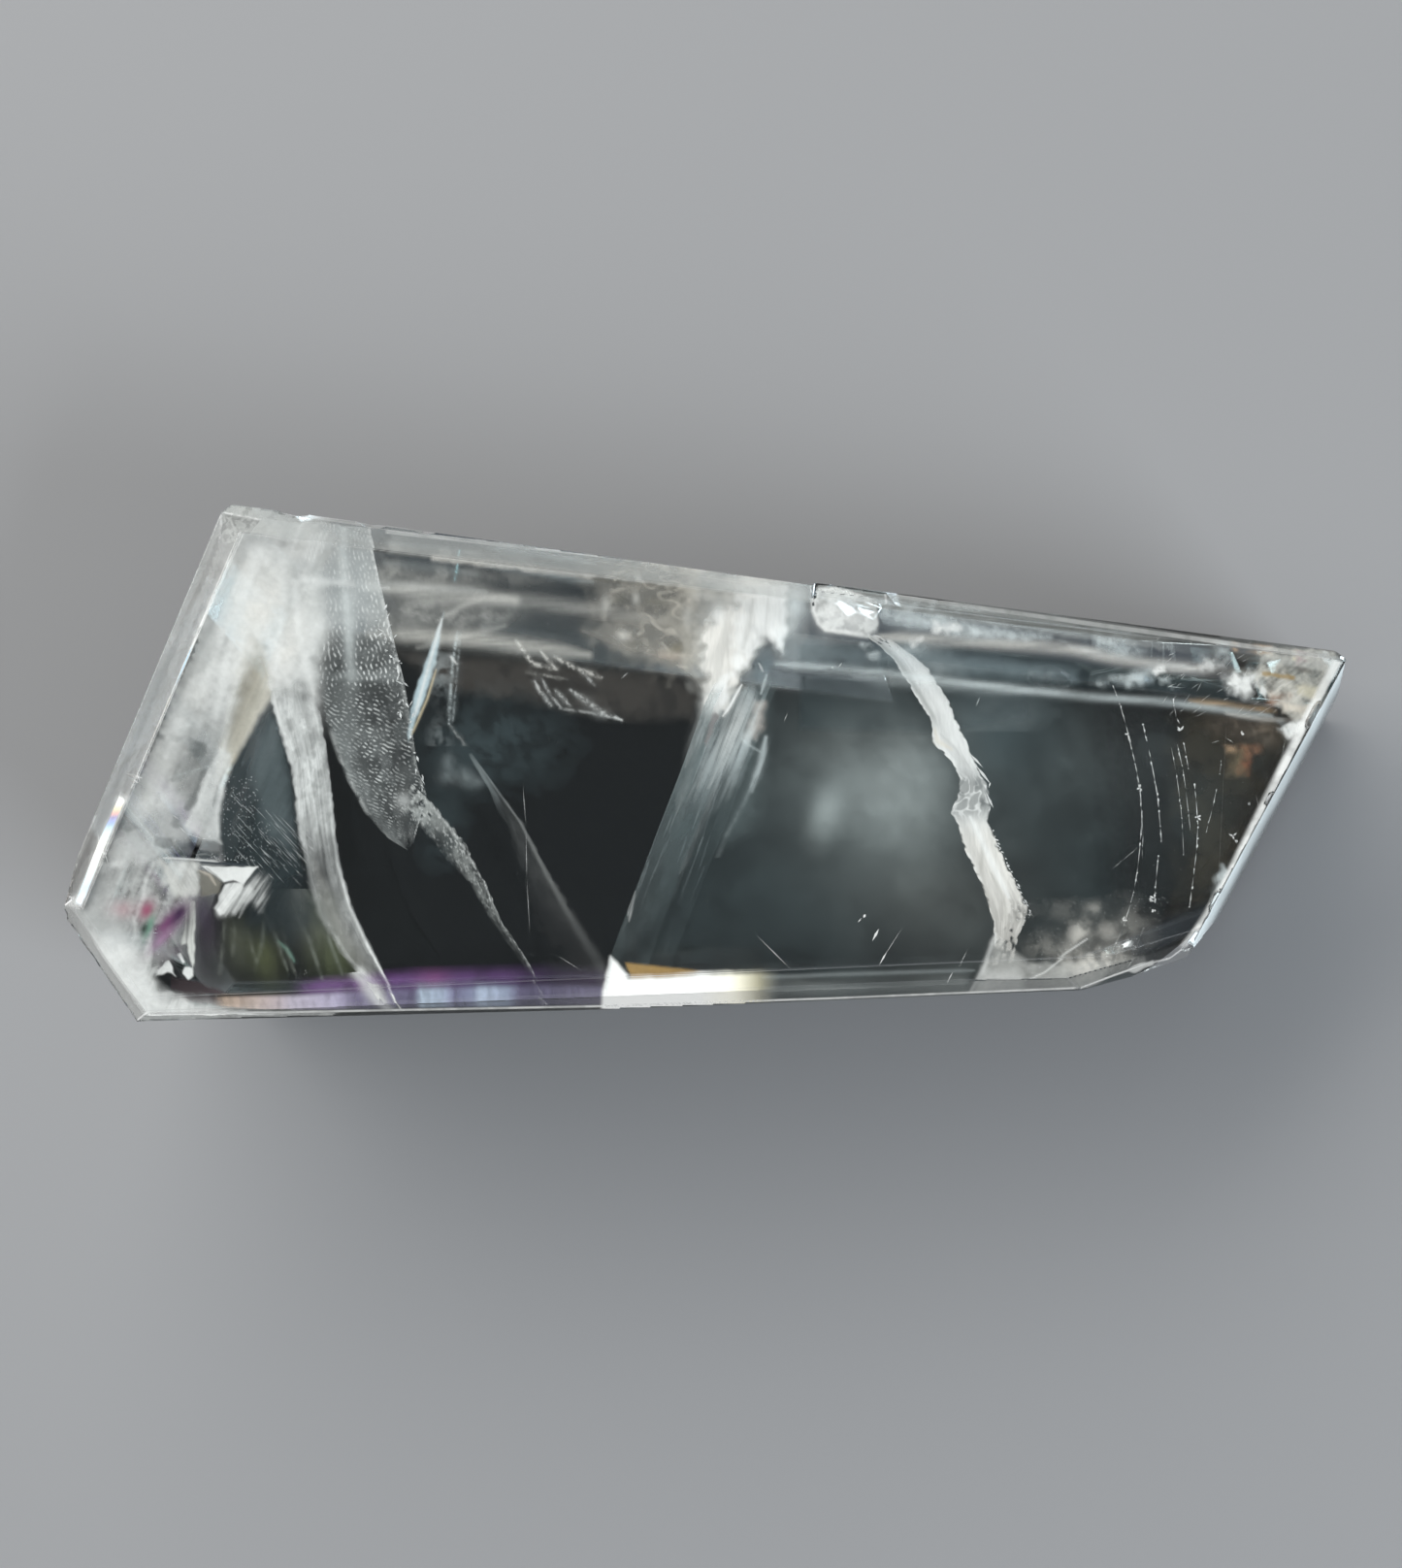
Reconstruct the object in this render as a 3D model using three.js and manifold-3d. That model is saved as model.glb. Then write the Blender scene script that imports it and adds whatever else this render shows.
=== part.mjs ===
// Optical calcite freeform: one clear block of Iceland spar, split along its cleavage and polished.
// Both ends lean to the right going down, as calcite's parallel cleavage planes do. The long edges and the
// two front corners are ground off in flat facets, and the back wall has a cleavage ledge and a few chips.
// Millimetres, +Z up. X runs along the front wall, and the origin is under the middle of the block.

import * as THREE from "three";
import { ConvexGeometry } from "three/addons/geometries/ConvexGeometry.js";
import { mergeVertices } from "three/addons/utils/BufferGeometryUtils.js";
import Module from "manifold-3d";

const wasm = await Module();
wasm.setup();

// Heights in millimetres and leans in degrees.
const TOP_HEIGHT = 23.8; // the top face above the foot, at x = 0
const TOP_FALL = 0.05; // what the top face drops for each millimetre of X
const CLEAVAGE_LEAN = 16.8; // both end walls and the ledge
const BACK_UNDERCUT_LEFT = 13; // the back wall left of the ledge
const BACK_UNDERCUT_RIGHT = 2; // the back wall right of the ledge
const CORNER_UNDERCUT = 8; // the left tip and the rough front left corner
const BLUNT_SPREAD = 4; // the blunted back right corner, which leans out

// Plan of the block at the widest line of each wall, anticlockwise from the back left corner.
const BACK_LEFT = [-47.9, 25.7];
const TIP_BACK = [-62.1, -7.4];
const TIP_FRONT = [-63.15, -11.9];
const FRONT_LEFT = [-56.9, -21.8];
const FRONT_MIDDLE = [-13.1, -22.0];
const FRONT_RIGHT = [31.6, -21.4];
const CORNER_MIDDLE = [36.3, -20.3];
const CORNER_END = [41.7, -18.45];
const RIGHT_FRONT = [41.2, -17.7];
const RIGHT_BACK = [55.55, 7.55];
const BLUNT_START = [57.9, 8.6];
const BLUNT_END = [56.2, 10.2];
const BACK_RIGHT = [54.6, 10.5];
const LEDGE_TOP = [8.2, 17.35];
const LEDGE = [6.6, 17.4];

// How far the widest line of each wall lies below the top face, which is the drop of its ground facet.
const LEFT_DROP = 2.0;
const BACK_LEFT_DROP = 2.2;
const BACK_RIGHT_DROP = 1.0;
const FRONT_DROP = 3.0;
const FRONT_RIM_DROP = 0.7; // the front is ground in two facets, which meet at this drop

// The ground facets along the foot: how far they reach in and how far they rise up the wall.
const FOOT_FACET = { reach: 2.0, rise: 2.2 };
const BACK_FOOT_FACET = { reach: 4.3, rise: 4.6 };
const RIGHT_FOOT_FACET = { reach: 0.7, rise: 0.7 };

// The ledge has a middle face along the cleavage and one turned to each side of it, set back by the bulge.
const LEDGE_FACES = [
  { turn: 0, back: 0 },
  { turn: -30, back: 0.5 },
  { turn: 30, back: 0.5 },
];

// Flakes that broke off: place [x, y, depth below the top face], half sizes [along, across, up], turn in plan
// and tilt in degrees.
const FLAKES = [
  // back edge, left of the ledge
  { at: [-41.6, 25.2, 2.6], size: [1.5, 0.45, 1.2], turn: -9, tilt: 0 },
  { at: [-34.3, 24.1, 2.4], size: [1.6, 0.55, 0.9], turn: -9, tilt: 20 },
  { at: [-29.4, 23.4, 2.3], size: [2.2, 0.45, 0.7], turn: -9, tilt: 10 },
  // left tip and rough front left corner
  { at: [-63.4, -11.9, 2.2], size: [0.9, 0.55, 1.3], turn: 75, tilt: 0 },
  { at: [-62.4, -13.6, 2.4], size: [1.1, 0.5, 1.5], turn: -60, tilt: 10 },
  { at: [-60.8, -16.2, 2.2], size: [1.5, 0.4, 1.0], turn: -60, tilt: -10 },
  { at: [-58.9, -19.2, 2.6], size: [1.3, 0.45, 1.7], turn: -60, tilt: 5 },
  { at: [-61.4, -14.6, 9.0], size: [2.4, 0.8, 3.2], turn: -60, tilt: 10 },
  { at: [-58.0, -19.2, 13.5], size: [2.0, 0.9, 4.2], turn: -60, tilt: -12 },
  { at: [-58.2, -17.6, 21.5], size: [2.6, 1.2, 2.0], turn: -60, tilt: 0 },
  // front right corner and the top edge of the right end
  { at: [38.6, -19.9, 2.6], size: [1.3, 0.6, 0.8], turn: 18, tilt: 30 },
  { at: [41.5, -17.9, 1.2], size: [0.9, 0.7, 1.0], turn: 40, tilt: 0 },
  { at: [44.0, -13.0, 0.2], size: [1.2, 0.4, 0.5], turn: 60, tilt: 0 },
  { at: [49.3, -3.6, 0.2], size: [0.7, 0.35, 0.45], turn: 60, tilt: 0 },
  { at: [53.6, 4.2, 0.3], size: [1.6, 0.4, 0.5], turn: 60, tilt: 0 },
  // back wall below and beside the ledge
  { at: [12.2, 17.1, 9.5], size: [3.6, 0.8, 5.2], turn: -9, tilt: 2 },
  { at: [-2.0, 15.7, 18.2], size: [3.2, 0.9, 2.6], turn: -9, tilt: 20 },
  { at: [30.5, 8.8, 22.4], size: [2.4, 1.0, 1.4], turn: -9, tilt: 40 },
];
const FLAKE_DETAIL = 3; // subdivisions of the ball that a flake is cut with
const FLAKE_RIPPLE = 0.05; // share of its size by which the ball's skin waves

const MERGE = 1e-4; // vertices closer than this are one
const ON_PLANE = 1e-5; // a corner this close to a plane lies on it
const INSIDE = new THREE.Vector3(0, 0, TOP_HEIGHT / 2);

const radians = THREE.MathUtils.degToRad;
const topHeight = (x) => TOP_HEIGHT - TOP_FALL * x;
const below = ([x, y], drop) => new THREE.Vector3(x, y, topHeight(x) - drop);
const onTop = (x, y) => below([x, y], 0);

// The plane through three points, facing out of the block.
function facet(a, b, c) {
  const plane = new THREE.Plane().setFromCoplanarPoints(a, b, c);
  return plane.distanceToPoint(INSIDE) > 0 ? plane.negate() : plane;
}

// A wall over the plan line from a to b, with the block on its left. It comes in by `lean` degrees towards
// the foot (a negative lean spreads it), and `drop` is the depth of that line below the top face.
function wall(a, b, drop, lean) {
  const along = new THREE.Vector2(b[0] - a[0], b[1] - a[1]).normalize();
  const tilt = radians(lean);
  const out = new THREE.Vector3(along.y, -along.x, 0).multiplyScalar(Math.cos(tilt)).setZ(-Math.sin(tilt));
  return new THREE.Plane().setFromNormalAndCoplanarPoint(out, below(a, drop));
}

// The ground facet between a wall and the foot.
function footFacet(side, { reach, rise }) {
  const level = Math.hypot(side.normal.x, side.normal.y);
  const out = new THREE.Vector3(side.normal.x, side.normal.y, 0).divideScalar(level);
  const edge = -side.constant / level; // how far out the wall meets the foot
  const slope = -side.normal.z / level;
  const lower = out.clone().multiplyScalar(edge - reach);
  const upper = out.clone().multiplyScalar(edge + slope * rise).setZ(rise);
  const sideways = new THREE.Vector3(-out.y, out.x, 0);
  return facet(lower, lower.clone().add(sideways), upper);
}

// One face of the ledge: the block's right length ends at it, on its left side.
function ledgeFace({ turn, back }) {
  const heading = Math.atan2(TIP_BACK[1] - BACK_LEFT[1], TIP_BACK[0] - BACK_LEFT[0]) + radians(turn);
  const start = [LEDGE[0] + back, LEDGE[1]];
  const end = [start[0] + Math.cos(heading), start[1] + Math.sin(heading)];
  return wall(start, end, BACK_LEFT_DROP, CLEAVAGE_LEAN);
}

function solidOf(geometry) {
  const bare = geometry.clone();
  bare.deleteAttribute("normal");
  bare.deleteAttribute("uv");
  const merged = mergeVertices(bare, MERGE);
  return new wasm.Manifold(
    new wasm.Mesh({
      numProp: 3,
      vertProperties: merged.attributes.position.array,
      triVerts: new Uint32Array(merged.index.array),
    }),
  );
}

function geometryOf(solid) {
  const mesh = solid.getMesh();
  const geometry = new THREE.BufferGeometry();
  geometry.setAttribute("position", new THREE.BufferAttribute(mesh.vertProperties, 3));
  geometry.setIndex(new THREE.BufferAttribute(mesh.triVerts, 1));
  geometry.computeVertexNormals();
  return geometry;
}

// The convex body that the planes bound: its corners are where three planes meet inside all the others.
function bodyWithin(planes) {
  const corners = [];
  const system = new THREE.Matrix3();
  planes.forEach((a, i) => {
    planes.slice(i + 1).forEach((b, j) => {
      planes.slice(i + j + 2).forEach((c) => {
        system.set(...a.normal.toArray(), ...b.normal.toArray(), ...c.normal.toArray());
        if (Math.abs(system.determinant()) < 1e-6) return;
        const corner = new THREE.Vector3(-a.constant, -b.constant, -c.constant);
        corner.applyMatrix3(system.clone().invert());
        if (planes.every((plane) => plane.distanceToPoint(corner) < ON_PLANE)) corners.push(corner);
      });
    });
  });
  return solidOf(new ConvexGeometry(corners));
}

// The ball that cuts one flake's scallop, with a faintly rippled skin.
function flake({ at: [x, y, drop], size, turn, tilt }) {
  const ball = new THREE.IcosahedronGeometry(1, FLAKE_DETAIL);
  const skin = ball.attributes.position;
  const point = new THREE.Vector3();
  for (let i = 0; i < skin.count; i++) {
    point.fromBufferAttribute(skin, i);
    const wave = Math.sin(7 * point.x + 3 * point.z + x) + Math.sin(9 * point.y + y);
    point.multiplyScalar(1 + FLAKE_RIPPLE * wave);
    skin.setXYZ(i, point.x, point.y, point.z);
  }
  ball.scale(...size);
  ball.rotateX(radians(tilt));
  ball.rotateZ(radians(turn));
  ball.translate(x, y, topHeight(x) - drop);
  return solidOf(ball);
}

function block() {
  const foot = new THREE.Plane(new THREE.Vector3(0, 0, -1), 0);
  const leftWall = wall(BACK_LEFT, TIP_BACK, LEFT_DROP, CLEAVAGE_LEAN);
  const tipWall = wall(TIP_BACK, TIP_FRONT, LEFT_DROP, CORNER_UNDERCUT);
  const cornerWall = wall(TIP_FRONT, FRONT_LEFT, LEFT_DROP, CORNER_UNDERCUT);
  const frontLeft = wall(FRONT_LEFT, FRONT_MIDDLE, FRONT_DROP, 0);
  const frontRight = wall(FRONT_MIDDLE, FRONT_RIGHT, FRONT_DROP, 0);
  const cornerNear = wall(FRONT_RIGHT, CORNER_MIDDLE, FRONT_DROP, 0);
  const cornerFar = wall(CORNER_MIDDLE, CORNER_END, FRONT_DROP, 0);
  const rightWall = wall(RIGHT_FRONT, RIGHT_BACK, 0, -CLEAVAGE_LEAN);
  const blunt = wall(BLUNT_START, BLUNT_END, BACK_RIGHT_DROP, -BLUNT_SPREAD);
  const walls = [leftWall, tipWall, cornerWall, frontLeft, frontRight, cornerNear, cornerFar, rightWall, blunt];

  const topFace = facet(onTop(-50, 0), onTop(50, 0), onTop(0, 20));
  const leftRim = facet(onTop(-45.5, 23.95), onTop(-61.0, -11.2), below(BACK_LEFT, LEFT_DROP));
  const cornerRim = facet(onTop(-61.0, -11.2), onTop(-55.3, -19.9), below([-60.0, -16.8], LEFT_DROP));
  const frontUpperRim = facet(onTop(-28, -18.95), onTop(24, -18.1), below([-2, -20.1], FRONT_RIM_DROP));
  const frontLowerRim = facet(
    below([-28, -20.45], FRONT_RIM_DROP),
    below([20, -19.85], FRONT_RIM_DROP),
    below(FRONT_MIDDLE, FRONT_DROP),
  );
  const cornerFarRim = facet(onTop(34.5, -17.7), onTop(41.5, -15.8), below([39.0, -19.4], FRONT_DROP));
  const rims = [leftRim, cornerRim, frontUpperRim, frontLowerRim, cornerFarRim];

  const footFacets = [leftWall, cornerWall, frontLeft, frontRight, cornerFar].map((side) =>
    footFacet(side, FOOT_FACET),
  );
  const shared = [topFace, foot, ...walls, ...rims, ...footFacets, footFacet(rightWall, RIGHT_FOOT_FACET)];

  // The whole block with its undercut back, and the fuller length that stands out right of the ledge.
  const backLeft = wall(LEDGE, BACK_LEFT, BACK_LEFT_DROP, BACK_UNDERCUT_LEFT);
  const backLeftRim = facet(onTop(-34, 21.3), onTop(-5.8, 17.4), below([-20, 21.45], BACK_LEFT_DROP));
  const slim = bodyWithin([...shared, backLeft, backLeftRim, footFacet(backLeft, BACK_FOOT_FACET)]);

  const backRight = wall(BACK_RIGHT, LEDGE_TOP, BACK_RIGHT_DROP, BACK_UNDERCUT_RIGHT);
  const backRightRim = facet(onTop(19.8, 14.5), onTop(48.8, 10.4), below([34.5, 13.4], BACK_RIGHT_DROP));
  const backRightFoot = footFacet(backRight, BACK_FOOT_FACET);
  const full = bodyWithin([...shared, backRight, backRightRim, backRightFoot, ...LEDGE_FACES.map(ledgeFace)]);

  return FLAKES.reduce((solid, one) => solid.subtract(flake(one)), slim.add(full));
}

const crystal = new THREE.Mesh(
  geometryOf(block()),
  new THREE.MeshStandardMaterial({ color: 0xe9eef0, roughness: 0.05, metalness: 0 }),
);
crystal.name = "crystal";

// The origin goes under the middle of the bounding box.
crystal.geometry.computeBoundingBox();
const middle = crystal.geometry.boundingBox.getCenter(new THREE.Vector3());
crystal.geometry.translate(-middle.x, -middle.y, -crystal.geometry.boundingBox.min.z);

const freeform = new THREE.Group();
freeform.add(crystal);

export default freeform;
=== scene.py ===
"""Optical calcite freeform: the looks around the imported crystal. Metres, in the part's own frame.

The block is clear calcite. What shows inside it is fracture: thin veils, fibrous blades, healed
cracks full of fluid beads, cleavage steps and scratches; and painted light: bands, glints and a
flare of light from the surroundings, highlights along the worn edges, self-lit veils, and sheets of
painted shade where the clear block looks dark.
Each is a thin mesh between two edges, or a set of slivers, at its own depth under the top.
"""

import math

import bmesh
import bpy
import numpy as np
from mathutils import Matrix, Vector
from mathutils.bvhtree import BVHTree


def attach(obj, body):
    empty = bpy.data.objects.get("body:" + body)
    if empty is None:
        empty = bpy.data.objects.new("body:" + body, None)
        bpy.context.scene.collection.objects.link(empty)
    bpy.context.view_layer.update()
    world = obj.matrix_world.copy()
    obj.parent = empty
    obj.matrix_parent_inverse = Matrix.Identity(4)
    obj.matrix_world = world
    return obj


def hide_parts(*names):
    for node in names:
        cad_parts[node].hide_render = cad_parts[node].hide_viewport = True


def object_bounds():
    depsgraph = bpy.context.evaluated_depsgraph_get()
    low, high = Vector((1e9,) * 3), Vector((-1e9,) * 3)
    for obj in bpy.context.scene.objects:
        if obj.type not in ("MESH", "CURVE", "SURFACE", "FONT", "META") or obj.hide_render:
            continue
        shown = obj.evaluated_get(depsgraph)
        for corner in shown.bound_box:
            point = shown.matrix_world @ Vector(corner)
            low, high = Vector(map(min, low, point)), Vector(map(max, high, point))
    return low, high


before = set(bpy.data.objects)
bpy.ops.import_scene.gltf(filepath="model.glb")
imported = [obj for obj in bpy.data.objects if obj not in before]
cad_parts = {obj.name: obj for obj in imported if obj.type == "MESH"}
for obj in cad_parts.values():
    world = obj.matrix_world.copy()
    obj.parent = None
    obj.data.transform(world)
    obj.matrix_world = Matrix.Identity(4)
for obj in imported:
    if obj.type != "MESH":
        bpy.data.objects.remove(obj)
cad_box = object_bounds()
scene = bpy.context.scene
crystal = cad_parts["crystal"]

MM = 0.001
LEAN = math.radians(23)  # how far the long streaks lean from the picture's upright

# ---- the view ------------------------------------------------------------------------------------
# Straight down on the block. Pixel coordinates in this script are in a picture of this size.
PICTURE_WIDTH = 1445
PICTURE_HEIGHT = 1616
CAMERA_PLACE = Vector((-3.56, -3.03, 214.0)) * MM
CAMERA_ROLL = math.radians(-1.27)
VIEW_HEIGHT = 145.44 * MM  # what the picture spans at the distance below
VIEW_DISTANCE = 190.0 * MM

CALCITE_IOR = 1.6
# Painted shade: on shadow rays each surface of the block passes only this much lamp light, so the floor
# under it lies dark.
DIMMED_SHADOW_PASS = (0.20, 0.205, 0.20)  # the light that each surface of the block lets through
EDGE_WEAR = 0.08 * MM
WALL_MARGIN = 0.12 * MM  # veils stop this far inside the walls
# The bright lines of the worn edges are painted highlights.
RIM_MARGIN = 0.04 * MM  # the bright lines of the worn edges come this near
FILM_GAP = 0.02 * MM  # frosted films lie this far over the skin
UPPER_HALF = 15 * MM  # above this the worn edges are matt
PATCH_RIM = 4  # pixels by which a patch reaches past its outline
FLOOR_GAP = 0.1 * MM  # the floor lies this far under the foot
CHIP_AREA = 4 * MM**2  # smaller faces of the block are broken and matt
SHARP = math.radians(8)  # edges that turn more than this are worn
WORN_MATT = 0.3  # how matt a worn edge is, from 0 to 1
STRAY = 0.005 * MM  # a bevel corner this far outside the block goes back to its skin
TOP_LIKE = 0.97  # films leave out faces that look up more than this
BOX_GAP = 0.01 * MM  # films stay this far inside the block's box

# The lamps that only brighten the fractures shine on this collection.
VEILS = bpy.data.collections.new("veils")


def make_camera():
    """The camera, looking straight down as in the photo."""
    data = bpy.data.cameras.new("camera")
    data.sensor_fit = "VERTICAL"
    data.sensor_height = 24.0
    data.lens = data.sensor_height * VIEW_DISTANCE / VIEW_HEIGHT
    data.clip_start = 0.01
    camera = bpy.data.objects.new("camera", data)
    camera.location = CAMERA_PLACE
    camera.rotation_euler = (0, 0, CAMERA_ROLL)
    scene.collection.objects.link(camera)
    scene.camera = camera


def sight(x, y):
    """The direction in which the camera sees a pixel."""
    focal = PICTURE_HEIGHT * VIEW_DISTANCE / VIEW_HEIGHT
    ray = Vector(((x - PICTURE_WIDTH / 2) / focal, (PICTURE_HEIGHT / 2 - y) / focal, -1))
    return (Matrix.Rotation(CAMERA_ROLL, 3, "Z") @ ray).normalized()


def top_face():
    """A point and the normal of the block's large polished top."""
    largest = max(crystal.data.polygons, key=lambda face: face.area if face.normal.z > 0.9 else 0)
    return largest.center.copy(), largest.normal.copy()


TOP_POINT, TOP_NORMAL = top_face()


def under_top(x, y, depth):
    """The place `depth` mm below the top face that shows at a pixel, through the bend of light there."""
    ray = sight(x, y)
    surface = CAMERA_PLACE + ray * ((TOP_POINT - CAMERA_PLACE).dot(TOP_NORMAL) / ray.dot(TOP_NORMAL))
    straight = -ray.dot(TOP_NORMAL)
    squeeze = 1 / CALCITE_IOR
    bent_straight = math.sqrt(1 - squeeze**2 * (1 - straight**2))
    bent = squeeze * ray + (squeeze * straight - bent_straight) * TOP_NORMAL
    return surface + bent * (depth * MM / bent_straight)


# ---- the studio ----------------------------------------------------------------------------------


def make_floor():
    """The plain pale floor."""
    bpy.ops.mesh.primitive_plane_add(size=4.0, location=(0, 0, -FLOOR_GAP))
    floor = bpy.context.object
    floor.name = "floor"
    mat = bpy.data.materials.new("floor_paper")
    mat.use_nodes = True
    shader = mat.node_tree.nodes["Principled BSDF"]
    shader.inputs["Base Color"].default_value = (0.5, 0.51, 0.52, 1)
    shader.inputs["Roughness"].default_value = 0.85
    floor.data.materials.append(mat)


def area_light(name, place, size, power, colour=(1, 1, 1)):
    """A soft lamp that looks at the middle of the frame."""
    data = bpy.data.lights.new(name, "AREA")
    data.shape = "RECTANGLE"
    data.size, data.size_y = size
    data.energy = power
    data.color = colour
    lamp = bpy.data.objects.new(name, data)
    lamp.location = place
    lamp.rotation_euler = (-Vector(place)).to_track_quat("-Z", "Y").to_euler()
    scene.collection.objects.link(lamp)
    return lamp


VEIL_LAMPS = (("veil_light_back", (-0.25, 0.5, 0.62), 38), ("veil_light_front", (0.25, -0.5, 0.6), 15))


def make_lights():
    """Two lamps for all, two that only the fractures see, and a dim even surround."""
    area_light("window", (-0.62, 0.64, 0.40), (2.1, 0.7), 17, (1.0, 0.98, 0.95))
    area_light("fill", (0.7, -0.5, 0.5), (0.6, 0.6), 5.0, (0.9, 0.95, 1.0))
    for name, place, power in VEIL_LAMPS:
        lamp = area_light(name, place, (0.5, 0.5), power)
        lamp.light_linking.receiver_collection = VEILS
        lamp.visible_glossy = False
        lamp.visible_transmission = False
    world = bpy.data.worlds.new("studio")
    world.use_nodes = True
    world.node_tree.nodes["Background"].inputs["Color"].default_value = (0.85, 0.9, 1.0, 1)
    world.node_tree.nodes["Background"].inputs["Strength"].default_value = 0.13
    scene.world = world
    scene.view_settings.view_transform = "Standard"
    scene.cycles.caustics_refractive = False
    scene.cycles.caustics_reflective = False
    scene.cycles.transparent_max_bounces = 24


# ---- materials -----------------------------------------------------------------------------------


class Nodes:
    """A material's node tree, with short calls for adding nodes and links."""

    def __init__(self, name):
        self.material = bpy.data.materials.new(name)
        self.material.use_nodes = True
        self.tree = self.material.node_tree
        self.shader = self.tree.nodes["Principled BSDF"]
        self.out = self.tree.nodes["Material Output"]

    def add(self, kind, **values):
        node = self.tree.nodes.new(kind)
        for name, value in values.items():
            if name in node.inputs:
                node.inputs[name].default_value = value
            else:
                setattr(node, name, value)
        return node

    def link(self, source, target):
        self.tree.links.new(source, target)

    def set(self, name, value):
        self.shader.inputs[name].default_value = value


def clear_calcite():
    """Water-clear calcite with a slight absorption, frosted only where the mesh says `broken`."""
    nodes = Nodes("clear_calcite")
    nodes.set("Base Color", (1, 1, 1, 1))
    nodes.set("IOR", CALCITE_IOR)
    broken = nodes.add("ShaderNodeAttribute", attribute_name="broken")
    rough = nodes.add("ShaderNodeMapRange")
    rough.inputs["To Max"].default_value = 0.32
    nodes.link(broken.outputs["Fac"], rough.inputs["Value"])
    nodes.link(rough.outputs["Result"], nodes.shader.inputs["Roughness"])
    through = nodes.add("ShaderNodeMapRange")
    through.inputs["To Min"].default_value = 1.0
    through.inputs["To Max"].default_value = 0.7
    nodes.link(broken.outputs["Fac"], through.inputs["Value"])
    nodes.link(through.outputs["Result"], nodes.shader.inputs["Transmission Weight"])
    absorb = nodes.add("ShaderNodeVolumeAbsorption", Color=(0.82, 0.87, 0.88, 1), Density=40.0)
    nodes.link(absorb.outputs[0], nodes.out.inputs["Volume"])
    # On shadow rays the block is a dimming Transparent shader: painted shade that keeps the floor under it
    # dark.
    path = nodes.add("ShaderNodeLightPath")
    clear = nodes.add("ShaderNodeBsdfTransparent", Color=(*DIMMED_SHADOW_PASS, 1))
    mix = nodes.add("ShaderNodeMixShader")
    nodes.link(path.outputs["Is Shadow Ray"], mix.inputs[0])
    nodes.link(nodes.shader.outputs[0], mix.inputs[1])
    nodes.link(clear.outputs[0], mix.inputs[2])
    nodes.link(mix.outputs[0], nodes.out.inputs["Surface"])
    return nodes.material


def veil_material(name, grain=(0.5, 0.5, 0.5), contrast=0.15, roughness=0.55, glow=0.0):
    """A fracture veil, as dense as the mesh's `veil` and in its `tint`, with grain of this size in mm."""
    nodes = Nodes(name)
    place = nodes.add("ShaderNodeTexCoord")
    stretch = nodes.add("ShaderNodeMapping", vector_type="POINT")
    stretch.inputs["Scale"].default_value = [1 / (size * MM) for size in grain]
    nodes.link(place.outputs["Object"], stretch.inputs["Vector"])
    noise = nodes.add("ShaderNodeTexNoise", Scale=1.0, Detail=4.0, Roughness=0.6)
    nodes.link(stretch.outputs["Vector"], noise.inputs["Vector"])
    shade = nodes.add("ShaderNodeMapRange")
    shade.inputs["From Min"].default_value = 0.3
    shade.inputs["From Max"].default_value = 0.7
    shade.inputs["To Min"].default_value = 1 - contrast
    nodes.link(noise.outputs["Fac"], shade.inputs["Value"])
    tint = nodes.add("ShaderNodeAttribute", attribute_name="tint")
    colour = nodes.add("ShaderNodeVectorMath", operation="SCALE")
    nodes.link(tint.outputs["Color"], colour.inputs[0])
    nodes.link(shade.outputs["Result"], colour.inputs["Scale"])
    nodes.link(colour.outputs["Vector"], nodes.shader.inputs["Base Color"])
    density = nodes.add("ShaderNodeAttribute", attribute_name="veil")
    nodes.link(density.outputs["Fac"], nodes.shader.inputs["Alpha"])
    bump = nodes.add("ShaderNodeBump", Strength=0.2, Distance=0.04 * MM)
    nodes.link(noise.outputs["Fac"], bump.inputs["Height"])
    nodes.link(bump.outputs["Normal"], nodes.shader.inputs["Normal"])
    nodes.set("Roughness", roughness)
    # glow is a painted white emission: the veil gives off light though it is no lamp.
    if glow:
        nodes.set("Emission Color", (1.0, 1.0, 1.0, 1.0))
        nodes.set("Emission Strength", glow)
    return nodes.material


def grain_material(name, colour):
    """Grains, chips and scratches, solid and slightly uneven in tone."""
    nodes = Nodes(name)
    place = nodes.add("ShaderNodeTexCoord")
    noise = nodes.add("ShaderNodeTexNoise", Scale=1500.0, Detail=2.0)
    nodes.link(place.outputs["Object"], noise.inputs["Vector"])
    tint = nodes.add("ShaderNodeValToRGB")
    tint.color_ramp.elements[0].color = (*(part * 0.75 for part in colour), 1)
    tint.color_ramp.elements[1].color = (*colour, 1)
    nodes.link(noise.outputs["Fac"], tint.inputs["Fac"])
    nodes.link(tint.outputs["Color"], nodes.shader.inputs["Base Color"])
    nodes.set("Roughness", 0.45)
    return nodes.material


# The silky, glint and flare veils glow with a painted white emission that brightens them.
FINISHES = {
    "milky_veil": lambda: veil_material("milky_veil"),
    "mist_veil": lambda: veil_material("mist_veil", (5, 5, 5), 0.06),
    "fibrous_veil": lambda: veil_material("fibrous_veil", (0.25, 1.6, 1.6), 0.22, 0.5),
    "self_lit_silky_veil": lambda: veil_material("self_lit_silky_veil", (0.25, 1.6, 1.6), 0.16, 0.5, 0.12),
    "glint_veil": lambda: veil_material("glint_veil", (0.6, 0.6, 0.6), 0.1, 0.25, 0.1),
    "flare_veil": lambda: veil_material("flare_veil", (0.6, 0.6, 0.6), 0.06, 0.25, 0.3),
    "grain_white": lambda: grain_material("grain_white", (0.95, 0.96, 0.97)),
}
MADE = {}


def finish(name):
    """The material of this name, made once."""
    if name not in MADE:
        MADE[name] = FINISHES[name]()
    return MADE[name]


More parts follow.
